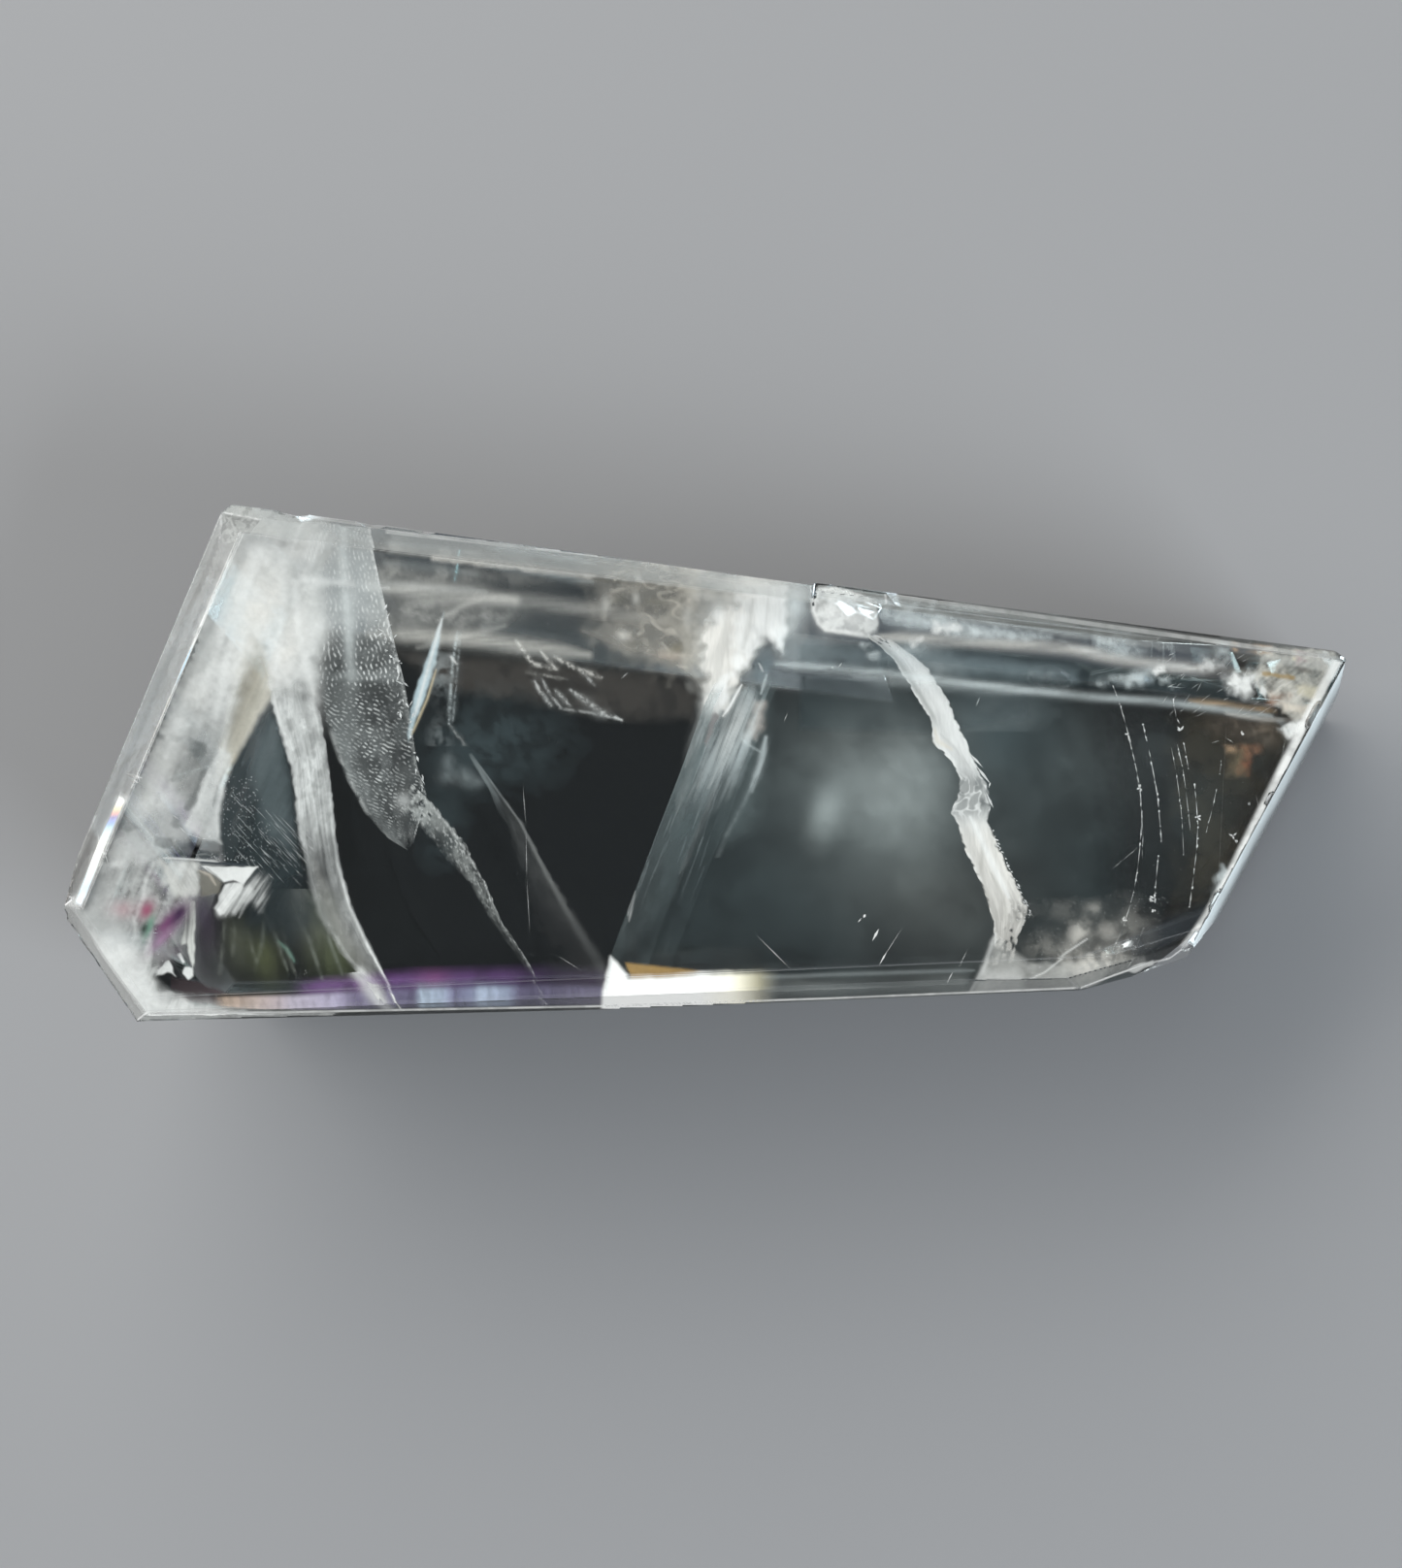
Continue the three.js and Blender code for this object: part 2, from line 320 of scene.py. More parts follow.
# Tints of the fractures, and of the painted shade in creases, recesses and undercuts and where the clear
# block looks dark.
WHITE = (0.96, 0.97, 0.97)
WARM_WHITE = (0.97, 0.94, 0.90)
COOL_WHITE = (0.84, 0.92, 0.95)
BEIGE = (0.76, 0.68, 0.59)
PURPLE = (0.30, 0.12, 0.42)
TEAL = (0.42, 0.60, 0.66)
CREASE_SHADE_GREY = (0.3, 0.3, 0.3)
PAINTED_DARK = (0.02, 0.03, 0.033)
RECESS_SHADE = (0.04, 0.05, 0.06)


# ---- the ways of making fractures ----------------------------------------------------------------


def crystal_tree():
    """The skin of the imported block, for finding what lies inside it."""
    mesh = crystal.data
    corners = [v.co.copy() for v in mesh.vertices]
    return BVHTree.FromPolygons(corners, [tuple(face.vertices) for face in mesh.polygons])


CRYSTAL = crystal_tree()


def inside(place, margin=WALL_MARGIN):
    """True well inside the block."""
    nearest, normal, _, distance = CRYSTAL.find_nearest(place)
    roof = CRYSTAL.ray_cast(place, Vector((0, 0, 1)))[1]
    return roof is not None and roof.z > 0 and (place - nearest).dot(normal) < 0 and distance > margin


def under_skin(place, gap):
    """The same place, or the one `gap` mm under the skin where it would come out through it."""
    skin, normal = CRYSTAL.ray_cast(Vector((place[0], place[1], 1.0)), Vector((0, 0, -1)))[:2]
    if skin is None:
        return place
    under = skin - normal * gap * MM
    return under if place[2] > under.z else place


def smooth_line(points, count):
    """Points evenly spread along a soft curve near the given ones."""
    points = np.array(points)
    steps = np.linalg.norm(np.diff(points[:, :3], axis=0), axis=1)
    way = np.concatenate([[0], np.cumsum(steps)]) / steps.sum()
    spread = np.linspace(0, 1, count)
    line = np.stack([np.interp(spread, way, points[:, axis]) for axis in range(points.shape[1])], axis=1)
    reach = max(1, count // (4 * len(points)))
    for _ in range(reach):
        line[1:-1] = (line[:-2] + 2 * line[1:-1] + line[2:]) / 4
    return line


def ramp(value, low, high):
    """0 at low, 1 at high, smooth between."""
    share = np.clip((value - low) / (high - low), 0, 1)
    return share * share * (3 - 2 * share)


def peak(value, middle, width):
    """1 at the middle, falling to 0 on both sides of it."""
    return np.exp(-(((value - middle) / width) ** 2))


def polygon_distance(x, y, outline):
    """Signed distance in pixels to an outline, above zero inside it."""
    nearest = np.full(x.shape, np.inf)
    odd = np.zeros(x.shape, bool)
    for (ax, ay), (bx, by) in zip(outline, outline[1:] + outline[:1]):
        share = ((x - ax) * (bx - ax) + (y - ay) * (by - ay)) / ((bx - ax) ** 2 + (by - ay) ** 2)
        share = np.clip(share, 0, 1)
        nearest = np.minimum(nearest, np.hypot(x - ax - share * (bx - ax), y - ay - share * (by - ay)))
        if ay != by:
            odd ^= ((ay > y) != (by > y)) & (x < ax + (y - ay) * (bx - ax) / (by - ay))
    return np.where(odd, nearest, -nearest)


def line_distance(x, y, points):
    """Distance in pixels to a run of straight stretches."""
    nearest = np.full(x.shape, np.inf)
    for (ax, ay), (bx, by) in zip(points, points[1:]):
        share = np.clip(
            ((x - ax) * (bx - ax) + (y - ay) * (by - ay)) / ((bx - ax) ** 2 + (by - ay) ** 2), 0, 1
        )
        nearest = np.minimum(nearest, np.hypot(x - ax - share * (bx - ax), y - ay - share * (by - ay)))
    return nearest


class Sheet:
    """A thin surface inside the block between two edges, each a list of (pixel x, pixel y, depth in mm)."""

    margin = WALL_MARGIN

    def __init__(self, name, near, far, step=0.2, seed=1):
        self.name = name
        edges = [
            np.array([(*under_top(*point), point[0] * MM, point[1] * MM) for point in line])
            for line in (near, far)
        ]
        lengths = [np.linalg.norm(np.diff(line[:, :3], axis=0), axis=1).sum() for line in edges]
        self.length = max(lengths) / MM
        ends = smooth_line(edges[0], 9), smooth_line(edges[1], 9)
        self.width = np.linalg.norm((ends[0] - ends[1])[:, :3], axis=1).max() / MM
        self.rows = max(6, round(self.length / step))
        self.columns = max(4, round(self.width / step))
        self.along = np.linspace(0, 1, self.rows)[:, None] * np.ones((1, self.columns))
        self.across = np.linspace(0, 1, self.columns)[None, :] * np.ones((self.rows, 1))
        one = smooth_line(edges[0], self.rows)[:, None, :]
        other = smooth_line(edges[1], self.rows)[:, None, :]
        spread = one * (1 - self.across[..., None]) + other * self.across[..., None]
        self.places = spread[..., :3].copy()
        self.x, self.y = spread[..., 3] / MM, spread[..., 4] / MM
        self.random = np.random.default_rng(seed)
        self.density = np.zeros((self.rows, self.columns))
        self.tint = np.ones((self.rows, self.columns, 3))

    def filtered(self, weight):
        """White noise put through a filter, evened out to a spread of 1."""
        white = self.random.standard_normal((self.rows, self.columns))
        soft = np.fft.ifft2(np.fft.fft2(white) * weight).real
        return soft / max(soft.std(), 1e-9)

    def waves(self):
        """Waves per mm along and across, for filtering noise."""
        along = np.fft.fftfreq(self.rows, self.length / self.rows)[:, None]
        across = np.fft.fftfreq(self.columns, self.width / self.columns)[None, :]
        return along, across

    def noise(self, along, across, slant=0.0):
        """Soft random field with features this long and this wide, in mm; most values are from -2 to 2."""
        u, v = self.waves()
        turned_u = u * math.cos(slant) - v * math.sin(slant)
        turned_v = u * math.sin(slant) + v * math.cos(slant)
        return self.filtered(np.exp(-2 * ((turned_u * along) ** 2 + (turned_v * across) ** 2)))

    def clouds(self, size, rough=0.6):
        """Cloud of several sizes, from 0 to 1."""
        total = sum(self.noise(size / 2**n, size / 2**n) * rough**n for n in range(5))
        return ramp(total, -1.6, 1.6)

    def fibres(self, along, across, slant=0.0):
        """Bundle of fibres of several widths, from 0 to 1."""
        total = sum(self.noise(along / 1.5**n, across / 2**n, slant) * 0.75**n for n in range(4))
        return ramp(total, -1.8, 1.8)

    def ridges(self, pitch, slant=0.0, order=2.0):
        """Winding ridges that repeat about every `pitch` mm, along the sheet or slanted by an angle."""
        u, v = self.waves()
        turned_u = u * math.cos(slant) - v * math.sin(slant)
        ring = peak(np.hypot(u, v) * pitch, 1, 0.28)
        return self.filtered(ring * np.exp(-((turned_u * pitch * order) ** 2)))

    def fade(self, start=0.0, end=0.0, near=0.0, far=0.0, ragged=0.0, grain=1.0):
        """1 in the middle, 0 at the edges; each number is the share of the sheet over which it fades."""
        shift = self.noise(grain, grain) * ragged if ragged else 0
        mask = np.ones((self.rows, self.columns))
        for share, reach in (
            (self.along, start), (1 - self.along, end), (self.across, near), (1 - self.across, far)
        ):
            if reach:
                mask = mask * ramp(share + shift, 0, reach)
        return mask

    def within(self, outline, soft=4.0, ragged=0.0, grain=1.0):
        """1 inside an outline of pixels, 0 outside, over a soft rim this many pixels wide."""
        distance = polygon_distance(self.x, self.y, outline)
        if ragged:
            distance = distance + self.noise(grain, grain) * ragged
        return ramp(distance, -soft / 2, soft)

    def spot(self, x, y, half_x, half_y, turn=0.0):
        """1 at a pixel, falling to 0 around an ellipse."""
        side = (self.x - x) * math.cos(turn) + (self.y - y) * math.sin(turn)
        up = (self.y - y) * math.cos(turn) - (self.x - x) * math.sin(turn)
        return np.exp(-((side / half_x) ** 2) - (up / half_y) ** 2)

    def lift(self, height):
        """Moves the surface along its normal by this many mm, a field or a number."""
        normal = np.cross(np.gradient(self.places, axis=0), np.gradient(self.places, axis=1))
        normal /= np.maximum(np.linalg.norm(normal, axis=2, keepdims=True), 1e-12)
        self.places = self.places + normal * (np.asarray(height) * MM)[..., None]

    def tuck(self, gap=0.3):
        """Puts what would come out through the top, a ground facet or a wall `gap` mm under that skin."""
        for place in self.places.reshape(-1, 3):
            place[:] = under_skin(place, gap)

    def area_of(self, mask, strength, tint):
        """Lays a veil over the sheet where the mask is above 0, on top of what is there."""
        cover = np.clip(mask * strength, 0, 1)
        total = self.density + cover * (1 - self.density)
        share = np.where(total > 0, cover / np.maximum(total, 1e-6), 0)[..., None]
        self.tint = self.tint * (1 - share) + np.array(tint) * share
        self.density = total

    def area(self, outline, soft, strength, tint, ragged=1.0, grain=0.8):
        """A veil inside an outline of pixels, with an uneven rim."""
        self.area_of(self.within(outline, soft, ragged, grain), strength, tint)

    def glow(self, x, y, half_x, half_y, strength, tint, turn=0.0):
        """A soft spot of veil around a pixel."""
        self.area_of(self.spot(x, y, half_x, half_y, turn), strength, tint)

    def spots(self, table, low, more, size, tint, turn=0.0):
        """Soft spots, each uneven with clouds of its own."""
        for x, y, half_x, half_y, strength in table:
            self.glow(x, y, half_x, half_y, strength * (low + more * self.clouds(size)), tint, turn)

    def line(self, points, width, strength, tint):
        """A soft line of veil along pixels, this many pixels wide from its middle to where it is faint."""
        distance = line_distance(self.x, self.y, points)
        ends = np.minimum(
            np.hypot(self.x - points[0][0], self.y - points[0][1]),
            np.hypot(self.x - points[-1][0], self.y - points[-1][1]),
        )
        taper = 0.5 + 0.5 * ramp(ends, 0, 5 * width)
        self.area_of(peak(distance, 0, width * taper), strength, tint)

    def clear(self, outline, soft, strength):
        """Thins what is there inside an outline."""
        self.shade(1 - strength * self.within(outline, soft, 1.0))

    def shade(self, field):
        """Thins or thickens what is there by a field."""
        self.density = np.clip(self.density * field, 0, 1)

    def kept(self, places):
        return np.array([inside(Vector(place), self.margin) for place in places])

    def build(self, finish_name="milky_veil"):
        """The mesh, without the parts that fall outside the block or are fully clear."""
        flat = self.places.reshape(-1, 3)
        density = self.density.reshape(-1)
        held = self.kept(flat)
        shown = held & (density > 0.01)
        grid = np.arange(self.rows * self.columns).reshape(self.rows, self.columns)
        quads = np.stack(
            [grid[:-1, :-1], grid[1:, :-1], grid[1:, 1:], grid[:-1, 1:]], axis=-1
        ).reshape(-1, 4)
        quads = quads[shown[quads].any(axis=1) & held[quads].all(axis=1)]
        used = np.unique(quads)
        number = np.zeros(len(flat), int)
        number[used] = np.arange(len(used))
        mesh = bpy.data.meshes.new(self.name)
        mesh.from_pydata(flat[used].tolist(), [], number[quads].tolist())
        mesh.polygons.foreach_set("use_smooth", np.ones(len(mesh.polygons), bool))
        veil = mesh.attributes.new("veil", "FLOAT", "POINT")
        veil.data.foreach_set("value", density[used].astype(np.float32))
        tints = self.tint.reshape(-1, 3)[used]
        colour = mesh.attributes.new("tint", "FLOAT_COLOR", "POINT")
        colour.data.foreach_set(
            "color", np.hstack([tints, np.ones((len(used), 1))]).astype(np.float32).reshape(-1)
        )
        layer = mesh.uv_layers.new(name="spread")
        corner = np.zeros(len(mesh.loops), np.int32)
        mesh.loops.foreach_get("vertex_index", corner)
        spread = np.stack([self.along.reshape(-1)[used], self.across.reshape(-1)[used]], axis=1)
        layer.data.foreach_set("uv", spread[corner].astype(np.float32).reshape(-1))
        mesh.materials.append(finish(finish_name))
        return place_piece(self.name, mesh)


class Patch(Sheet):
    """A sheet over an outline of pixels. Its two depths in mm are at the left and at the right."""

    def __init__(self, name, outline, depths, step=0.2, seed=1):
        left, right = min(x for x, _ in outline) - PATCH_RIM, max(x for x, _ in outline) + PATCH_RIM
        top, bottom = min(y for _, y in outline) - PATCH_RIM, max(y for _, y in outline) + PATCH_RIM
        near = [(left, top, depths[0]), (left, bottom, depths[0])]
        far = [(right, top, depths[1]), (right, bottom, depths[1])]
        super().__init__(name, near, far, step, seed)


class Film(Sheet):
    """A frosted film on the outer skin of the block, below two edges given at the top."""

    def __init__(self, name, near, far, step=0.2, seed=1):
        super().__init__(name, near, far, step, seed)
        low, high = (np.array(corner) + side * BOX_GAP for corner, side in zip(cad_box, (1, -1)))
        self.hit = np.zeros((self.rows, self.columns), bool)
        for row in range(self.rows):
            for column in range(self.columns):
                place = self.places[row, column]
                skin, normal = CRYSTAL.ray_cast(Vector((place[0], place[1], 1.0)), Vector((0, 0, -1)))[:2]
                if skin is None or normal.z > TOP_LIKE:
                    continue
                place[:] = skin + normal * FILM_GAP
                self.hit[row, column] = (place > low).all() and (place < high).all()

    def kept(self, places):
        return self.hit.reshape(-1)


def blend(one, other, share):
    """A tint between two, by a field from 0 to 1."""
    share = np.asarray(share)[..., None]
    return np.array(one) * (1 - share) + np.array(other) * share


def place_piece(name, mesh, slot="fracture_veil"):
    """A mesh as a piece that rides on the root; fracture veils also join the collection the veil lamps
    light.
    """
    piece = bpy.data.objects.new(name, mesh)
    scene.collection.objects.link(piece)
    if slot == "fracture_veil":
        VEILS.objects.link(piece)
    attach(piece, "root")
    return piece


class Slivers:
    """Many small pointed chips and scratches, joined in one mesh."""

    def __init__(self, name, seed=1):
        self.name = name
        self.corners = []
        self.faces = []
        self.random = np.random.default_rng(seed)

    def add(self, start, end, width, thick=None):
        """A sliver with six corners, between two places in metres; width and thickness in mm."""
        start, end = np.array(under_skin(start, 0.25)), np.array(under_skin(end, 0.25))
        if not (inside(Vector(start)) and inside(Vector(end))):
            return
        way = end - start
        length = max(np.linalg.norm(way), 1e-6)
        side = np.cross(way / length, (0, 0, 1.0))
        if np.linalg.norm(side) < 0.1:
            side = np.array((1.0, 0, 0))
        side /= np.linalg.norm(side)
        rise = np.cross(side, way / length)
        middle = start + way * self.random.uniform(0.35, 0.65)
        side = side * width * MM / 2
        rise = rise * (thick or width * 0.6) * MM / 2
        first = len(self.corners)
        self.corners += [start, end, middle + side, middle + rise, middle - side, middle - rise]
        for turn in range(4):
            one, two = first + 2 + turn, first + 2 + (turn + 1) % 4
            self.faces += [(first, two, one), (first + 1, one, two)]

    def dashes(self, points, width, dash=0.5, gap=0.2, stray=0.05, strength=1.0):
        """A broken bright line along points given as (pixel x, pixel y, depth)."""
        places = [under_top(*point) for point in points]
        length = sum((b - a).length for a, b in zip(places, places[1:])) / MM
        fine = smooth_line(places, max(8, round(length / 0.05)))
        way = 0.0
        while way < length:
            long = dash * self.random.uniform(0.4, 1.7)
            if self.random.random() < strength:
                first = fine[min(len(fine) - 1, round(way / length * (len(fine) - 1)))]
                last = fine[min(len(fine) - 1, round((way + long) / length * (len(fine) - 1)))]
                drift = self.random.standard_normal((2, 3)) * stray * MM
                if np.linalg.norm(last - first) > 0.02 * MM:
                    self.add(first + drift[0], last + drift[1], width * self.random.uniform(0.5, 1.4))
            way += long + gap * self.random.uniform(0.3, 1.8)

    def scatter(self, outline, count, size, depth, turn=None):
        """Specks strewn over a four-cornered patch of the view, between two depths."""
        (ax, ay), (bx, by), (cx, cy), (dx, dy) = outline
        for _ in range(count):
            u, v = self.random.random(2)
            x = (ax * (1 - u) + bx * u) * (1 - v) + (dx * (1 - u) + cx * u) * v
            y = (ay * (1 - u) + by * u) * (1 - v) + (dy * (1 - u) + cy * u) * v
            start = np.array(under_top(x, y, self.random.uniform(*depth)))
            if turn is None:
                angle = self.random.uniform(0, math.tau)
            else:
                angle = turn + self.random.normal() * 0.3
            long = size * self.random.uniform(0.4, 1.8) * MM
            tilt = self.random.normal() * 0.3
            way = np.array((math.cos(angle), math.sin(angle), tilt)) * long
            self.add(start, start + way, size * self.random.uniform(0.25, 0.6))

    def build(self):
        """The joined mesh."""
        mesh = bpy.data.meshes.new(self.name)
        mesh.from_pydata([tuple(corner) for corner in self.corners], [], self.faces)
        mesh.materials.append(finish("grain_white"))
        return place_piece(self.name, mesh)


def shifted(line, right, down, depth=0):
    """The edge of a sheet at one depth in mm, beside a line of pixels."""
    return [(x + right, y + down, depth) for x, y in line]


def box(left, top, right, bottom):
    """The corners of an upright rectangle of pixels."""
    return [(left, top), (right, top), (right, bottom), (left, bottom)]


def tint_stops(share, stops):
    """A tint that runs through (position, tint) stops along a field."""
    spots = [spot for spot, _ in stops]
    return np.stack(
        [np.interp(share, spots, [tint[part] for _, tint in stops]) for part in range(3)], axis=-1
    )


# ---- the block -----------------------------------------------------------------------------------


def block():
    """The crystal with its edges just broken, as polishing leaves them, and its chips frosted."""
    form = bmesh.new()
    form.from_mesh(crystal.data)
    bmesh.ops.remove_doubles(form, verts=form.verts, dist=0.001 * MM)
    bmesh.ops.dissolve_limit(form, angle_limit=math.radians(0.3), verts=form.verts, edges=form.edges)
    broken = form.faces.layers.float.new("broken")
    for face in form.faces:
        face[broken] = 1.0 if face.calc_area() < CHIP_AREA else 0.0
    main_edges = [
        edge
        for edge in form.edges
        if edge.calc_face_angle() > SHARP and not any(face[broken] for face in edge.link_faces)
    ]
    worn = bmesh.ops.bevel(
        form, geom=main_edges, offset=EDGE_WEAR, segments=2, affect="EDGES", clamp_overlap=False
    )
    for face in worn["faces"]:
        if face.calc_center_median().z > UPPER_HALF:
            face[broken] = WORN_MATT
    for corner in form.verts:
        nearest, normal = CRYSTAL.find_nearest(corner.co)[:2]
        if (corner.co - nearest).dot(normal) > STRAY:
            corner.co = nearest
    mesh = bpy.data.meshes.new("calcite_block")
    form.to_mesh(mesh)
    form.free()
    mesh.materials.clear()
    mesh.materials.append(clear_calcite())
    piece = place_piece("calcite_block", mesh, slot="clear_calcite")
    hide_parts("crystal")


# ---- left end ------------------------------------------------------------------------------------
# Each table stands above the piece that it shapes, in pixels of the picture. An outline or a line is a
# list of (x, y), and an edge of a sheet one of (x, y, depth in mm). If the comment above a table says
# nothing else, a spot is (x, y, half width, half height, strength), a stroke (line, width, strength)
# and a patch (outline, strength); each may go on with a turn in radians or a tint.

CORNER = [
    (232, 522), (318, 530), (392, 541), (399, 600), (405, 642), (338, 652), (324, 702), (277, 712),
    (263, 668), (246, 722), (232, 780), (222, 852), (160, 892), (96, 900), (132, 814), (157, 756),
    (172, 724), (211, 634),
]
FRONT_FROST = [
    (66, 934), (98, 884), (165, 884), (205, 888), (203, 926), (188, 944), (184, 972), (178, 985),
    (166, 998), (160, 1006), (163, 1020), (223, 1034), (264, 1040), (345, 1043), (345, 1056),
    (140, 1060), (100, 1030),
]


# (depths in mm, step in mm, share of the whole) of each layer
HAZE_LAYERS = [((1.0, 3.0), 0.16, 1.0), ((6, 9), 0.3, 0.4), ((12, 15), 0.35, 0.4)]
HAZE_CLUMPS = [
    (268, 622, 24, 34, 0.7), (300, 662, 18, 42, 0.45), (250, 668, 14, 30, 0.3),
    (250, 590, 36, 36, 0.2), (314, 560, 14, 16, 0.2), (200, 700, 20, 46, 0.15),
    (160, 800, 16, 40, 0.12), (345, 560, 30, 25, 0.1), (232, 560, 14, 30, 0.2),
]
HAZE_STREAKS = [
    ([(303, 600), (306, 640), (312, 680), (323, 715)], 5, 0.4),
    ([(285, 560), (292, 600), (288, 650), (283, 690)], 5, 0.3),
    ([(262, 575), (246, 625), (232, 680), (222, 740)], 6, 0.3),
    ([(215, 660), (190, 720), (170, 780)], 6, 0.2), ([(300, 598), (345, 600), (400, 606)], 4, 0.35),
    ([(300, 568), (308, 545), (312, 536)], 3, 0.4), ([(256, 548), (274, 580), (290, 600)], 3, 0.3),
    ([(330, 552), (322, 578)], 1.6, 0.6), ([(325, 554), (317, 579)], 1.4, 0.5),
    ([(320, 556), (313, 578)], 1.4, 0.45), ([(336, 551), (330, 570)], 1.4, 0.45),
]
HAZE_CREASES = [
    ([(258, 556), (212, 652), (180, 722)], 4, 0.35),
    ([(236, 600), (222, 640), (206, 690)], 5, 0.22), ([(292, 556), (282, 580), (270, 590)], 4, 0.2),
]
HAZE_EDGE_SPOTS = [
    (252, 552, 30, 16, 0.6), (232, 560, 10, 14, 0.4), (272, 574, 18, 14, 0.3),
    (326, 566, 20, 12, 0.35), (330, 650, 16, 20, 0.35), (323, 700, 9, 44, 0.5),
    (172, 768, 14, 50, 0.25),
]
BESIDE_LEG = [
    (266, 668), (282, 700), (278, 716), (258, 746), (244, 775), (236, 806), (222, 806), (226, 770),
    (234, 735), (246, 702),
]
LEFT_FACET = [(222, 512), (252, 538), (210, 634), (156, 756), (131, 814), (82, 937), (50, 930)]
ABOVE_PLATE = [(104, 834), (140, 818), (176, 826), (182, 850), (160, 876), (112, 880)]


def haze_details(haze):
    """Streaks, creases, bright spots and clearings of the uppermost layer."""
    for points, width, more in HAZE_STREAKS:
        haze.line(points, width, more, WHITE)
    for points, width, more in HAZE_CREASES:
        haze.shade(1 - more * peak(line_distance(haze.x, haze.y, points), 0, width))
    haze.spots(HAZE_EDGE_SPOTS, 0.7, 0.4, 2.5, WHITE)
    haze.clear(BESIDE_LEG, 8, 0.6)
    haze.clear(LEFT_FACET, 5, 0.4)
    haze.clear(ABOVE_PLATE, 16, 0.25)


def corner_haze():
    """Milky cloud that fills the back left corner and runs down along the end wall."""
    for number, (depths, step, share) in enumerate(HAZE_LAYERS):
        haze = Patch(f"corner_haze_{number + 1}", CORNER, depths, step, seed=11 + number)
        haze.lift(haze.noise(6, 6) * 0.2)
        haze.tuck()
        silk = 0.50 + 0.38 * haze.clouds(5, 0.7) + 0.18 * haze.fibres(9, 1.6, LEAN)
        silk = silk + 0.06 * haze.fibres(3, 0.8, -0.7)
        upper = 1 - ramp(haze.y, 640, 800)
        right = ramp(haze.x, 315, 345)
        haze.area(CORNER, 14, silk * share * (0.42 + 0.24 * upper) * (1 - 0.82 * right), WHITE, 3)
        for x, y, half_x, half_y, more in HAZE_CLUMPS:
            strength = share * more * (0.6 + 0.5 * haze.clouds(2.5))
            haze.glow(x, y, half_x, half_y, strength, WARM_WHITE, 0.35)
        if number == 0:
            haze_details(haze)
        haze.build()


LEG_BOX = box(170, 645, 345, 1000)
FORK = [
    (280, 716), (288, 744), (296, 774), (304, 822), (308, 872), (312, 900), (280, 912), (232, 900),
    (224, 862), (226, 834), (231, 808), (242, 778), (258, 755),
]
FORK_SHADE = [(232, 880), (308, 870), (318, 910), (332, 950), (300, 975), (250, 960), (232, 930)]
FORK_SHEEN = [
    (276, 735), (288, 744), (300, 800), (304, 850), (300, 880), (270, 860), (256, 800), (262, 760)
]
LEG_FACE = [
    (256, 650), (272, 664), (286, 700), (282, 718), (264, 744), (249, 772), (238, 792), (224, 808),
    (220, 800), (226, 768), (232, 735), (238, 705),
]
LEG_CORE = [(244, 690), (262, 680), (272, 700), (256, 730), (240, 752)]
LEG_FOOT = [
    (240, 776), (232, 808), (228, 828), (225, 849), (228, 870), (206, 866), (190, 850), (203, 828),
    (208, 805), (216, 788), (226, 770),
]
LEG_LIGHT_EDGE = [(244, 700), (234, 745), (228, 785), (222, 806)]
LEG_FOOT_EDGE = [(216, 792), (210, 812), (203, 832), (192, 852)]
LEG_INNER_EDGE = [(229, 812), (223, 838), (224, 862)]
LEG_CREASE = [(224, 810), (219, 831)]
LEG_DARK_LINE = [(226, 745), (222, 768), (217, 790)]
FORK_TOP_LINE = [(303, 700), (292, 712), (280, 716)]


def beige_leg():
    """The beige and white leg that runs down from the corner, and the painted dark of the clear block
    beside it.
    """
    leg = Patch("beige_leg", LEG_BOX, (3.4, 4.4), 0.13, seed=21)
    leg.lift(leg.noise(4, 2) * 0.1)
    # Painted dark where the clear block shows beside the leg.
    leg.area(FORK_SHADE, 26, 0.75, PAINTED_DARK, 2)
    leg.area(FORK, 5, 0.9, PAINTED_DARK, 0.4)
    leg.area(FORK_SHEEN, 12, 0.12, (0.55, 0.66, 0.70), 0.5)
    leg.area(LEG_FACE, 5, 0.8, (0.74, 0.70, 0.61), 0.4)
    leg.area(LEG_CORE, 10, 0.35, (0.62, 0.57, 0.48), 0.5)
    leg.area(LEG_FOOT, 4, 0.62, WHITE, 0.8)
    leg.line(LEG_LIGHT_EDGE, 5, 0.5, WHITE)
    leg.line(LEG_FOOT_EDGE, 3, 0.7, WHITE)
    leg.line(LEG_INNER_EDGE, 2.4, 0.6, WHITE)
    # The two dark lines are painted shade along creases.
    leg.line(LEG_CREASE, 1.6, 0.6, (0.16, 0.18, 0.17))
    leg.line(LEG_DARK_LINE, 1.4, 0.4, (0.2, 0.22, 0.21))
    leg.line(FORK_TOP_LINE, 4, 0.3, WHITE)
    leg.shade(0.86 + 0.18 * leg.fibres(6, 1.0, LEAN))
    leg.build()


GAPS_BOX = box(110, 750, 230, 890)
GAPS = [
    (
        [
            (194, 759), (214, 766), (211, 781), (188, 804), (176, 809), (175, 803), (182, 788),
            (194, 771),
        ],
        0.30,
    ),
    ([(196, 760), (213, 767), (210, 780), (196, 782), (193, 772)], 0.34),
    ([(208, 793), (214, 791), (203, 828), (194, 835), (188, 834), (194, 822)], 0.5),
    ([(118, 846), (140, 848), (146, 855), (130, 858), (117, 855)], 0.4),
    ([(177, 838), (186, 842), (187, 852), (182, 857), (175, 850)], 0.5),
    ([(160, 861), (178, 863), (180, 872), (168, 876), (159, 870)], 0.5),
    ([(193, 858), (202, 857), (199, 869), (188, 880), (184, 876)], 0.25),
    ([(159, 750), (172, 757), (170, 764), (159, 762)], 0.4),
    ([(174, 756), (190, 760), (184, 767), (173, 764)], 0.22),
    ([(199, 881), (203, 876), (215, 876), (227, 879), (224, 884), (207, 884)], 0.55),
]


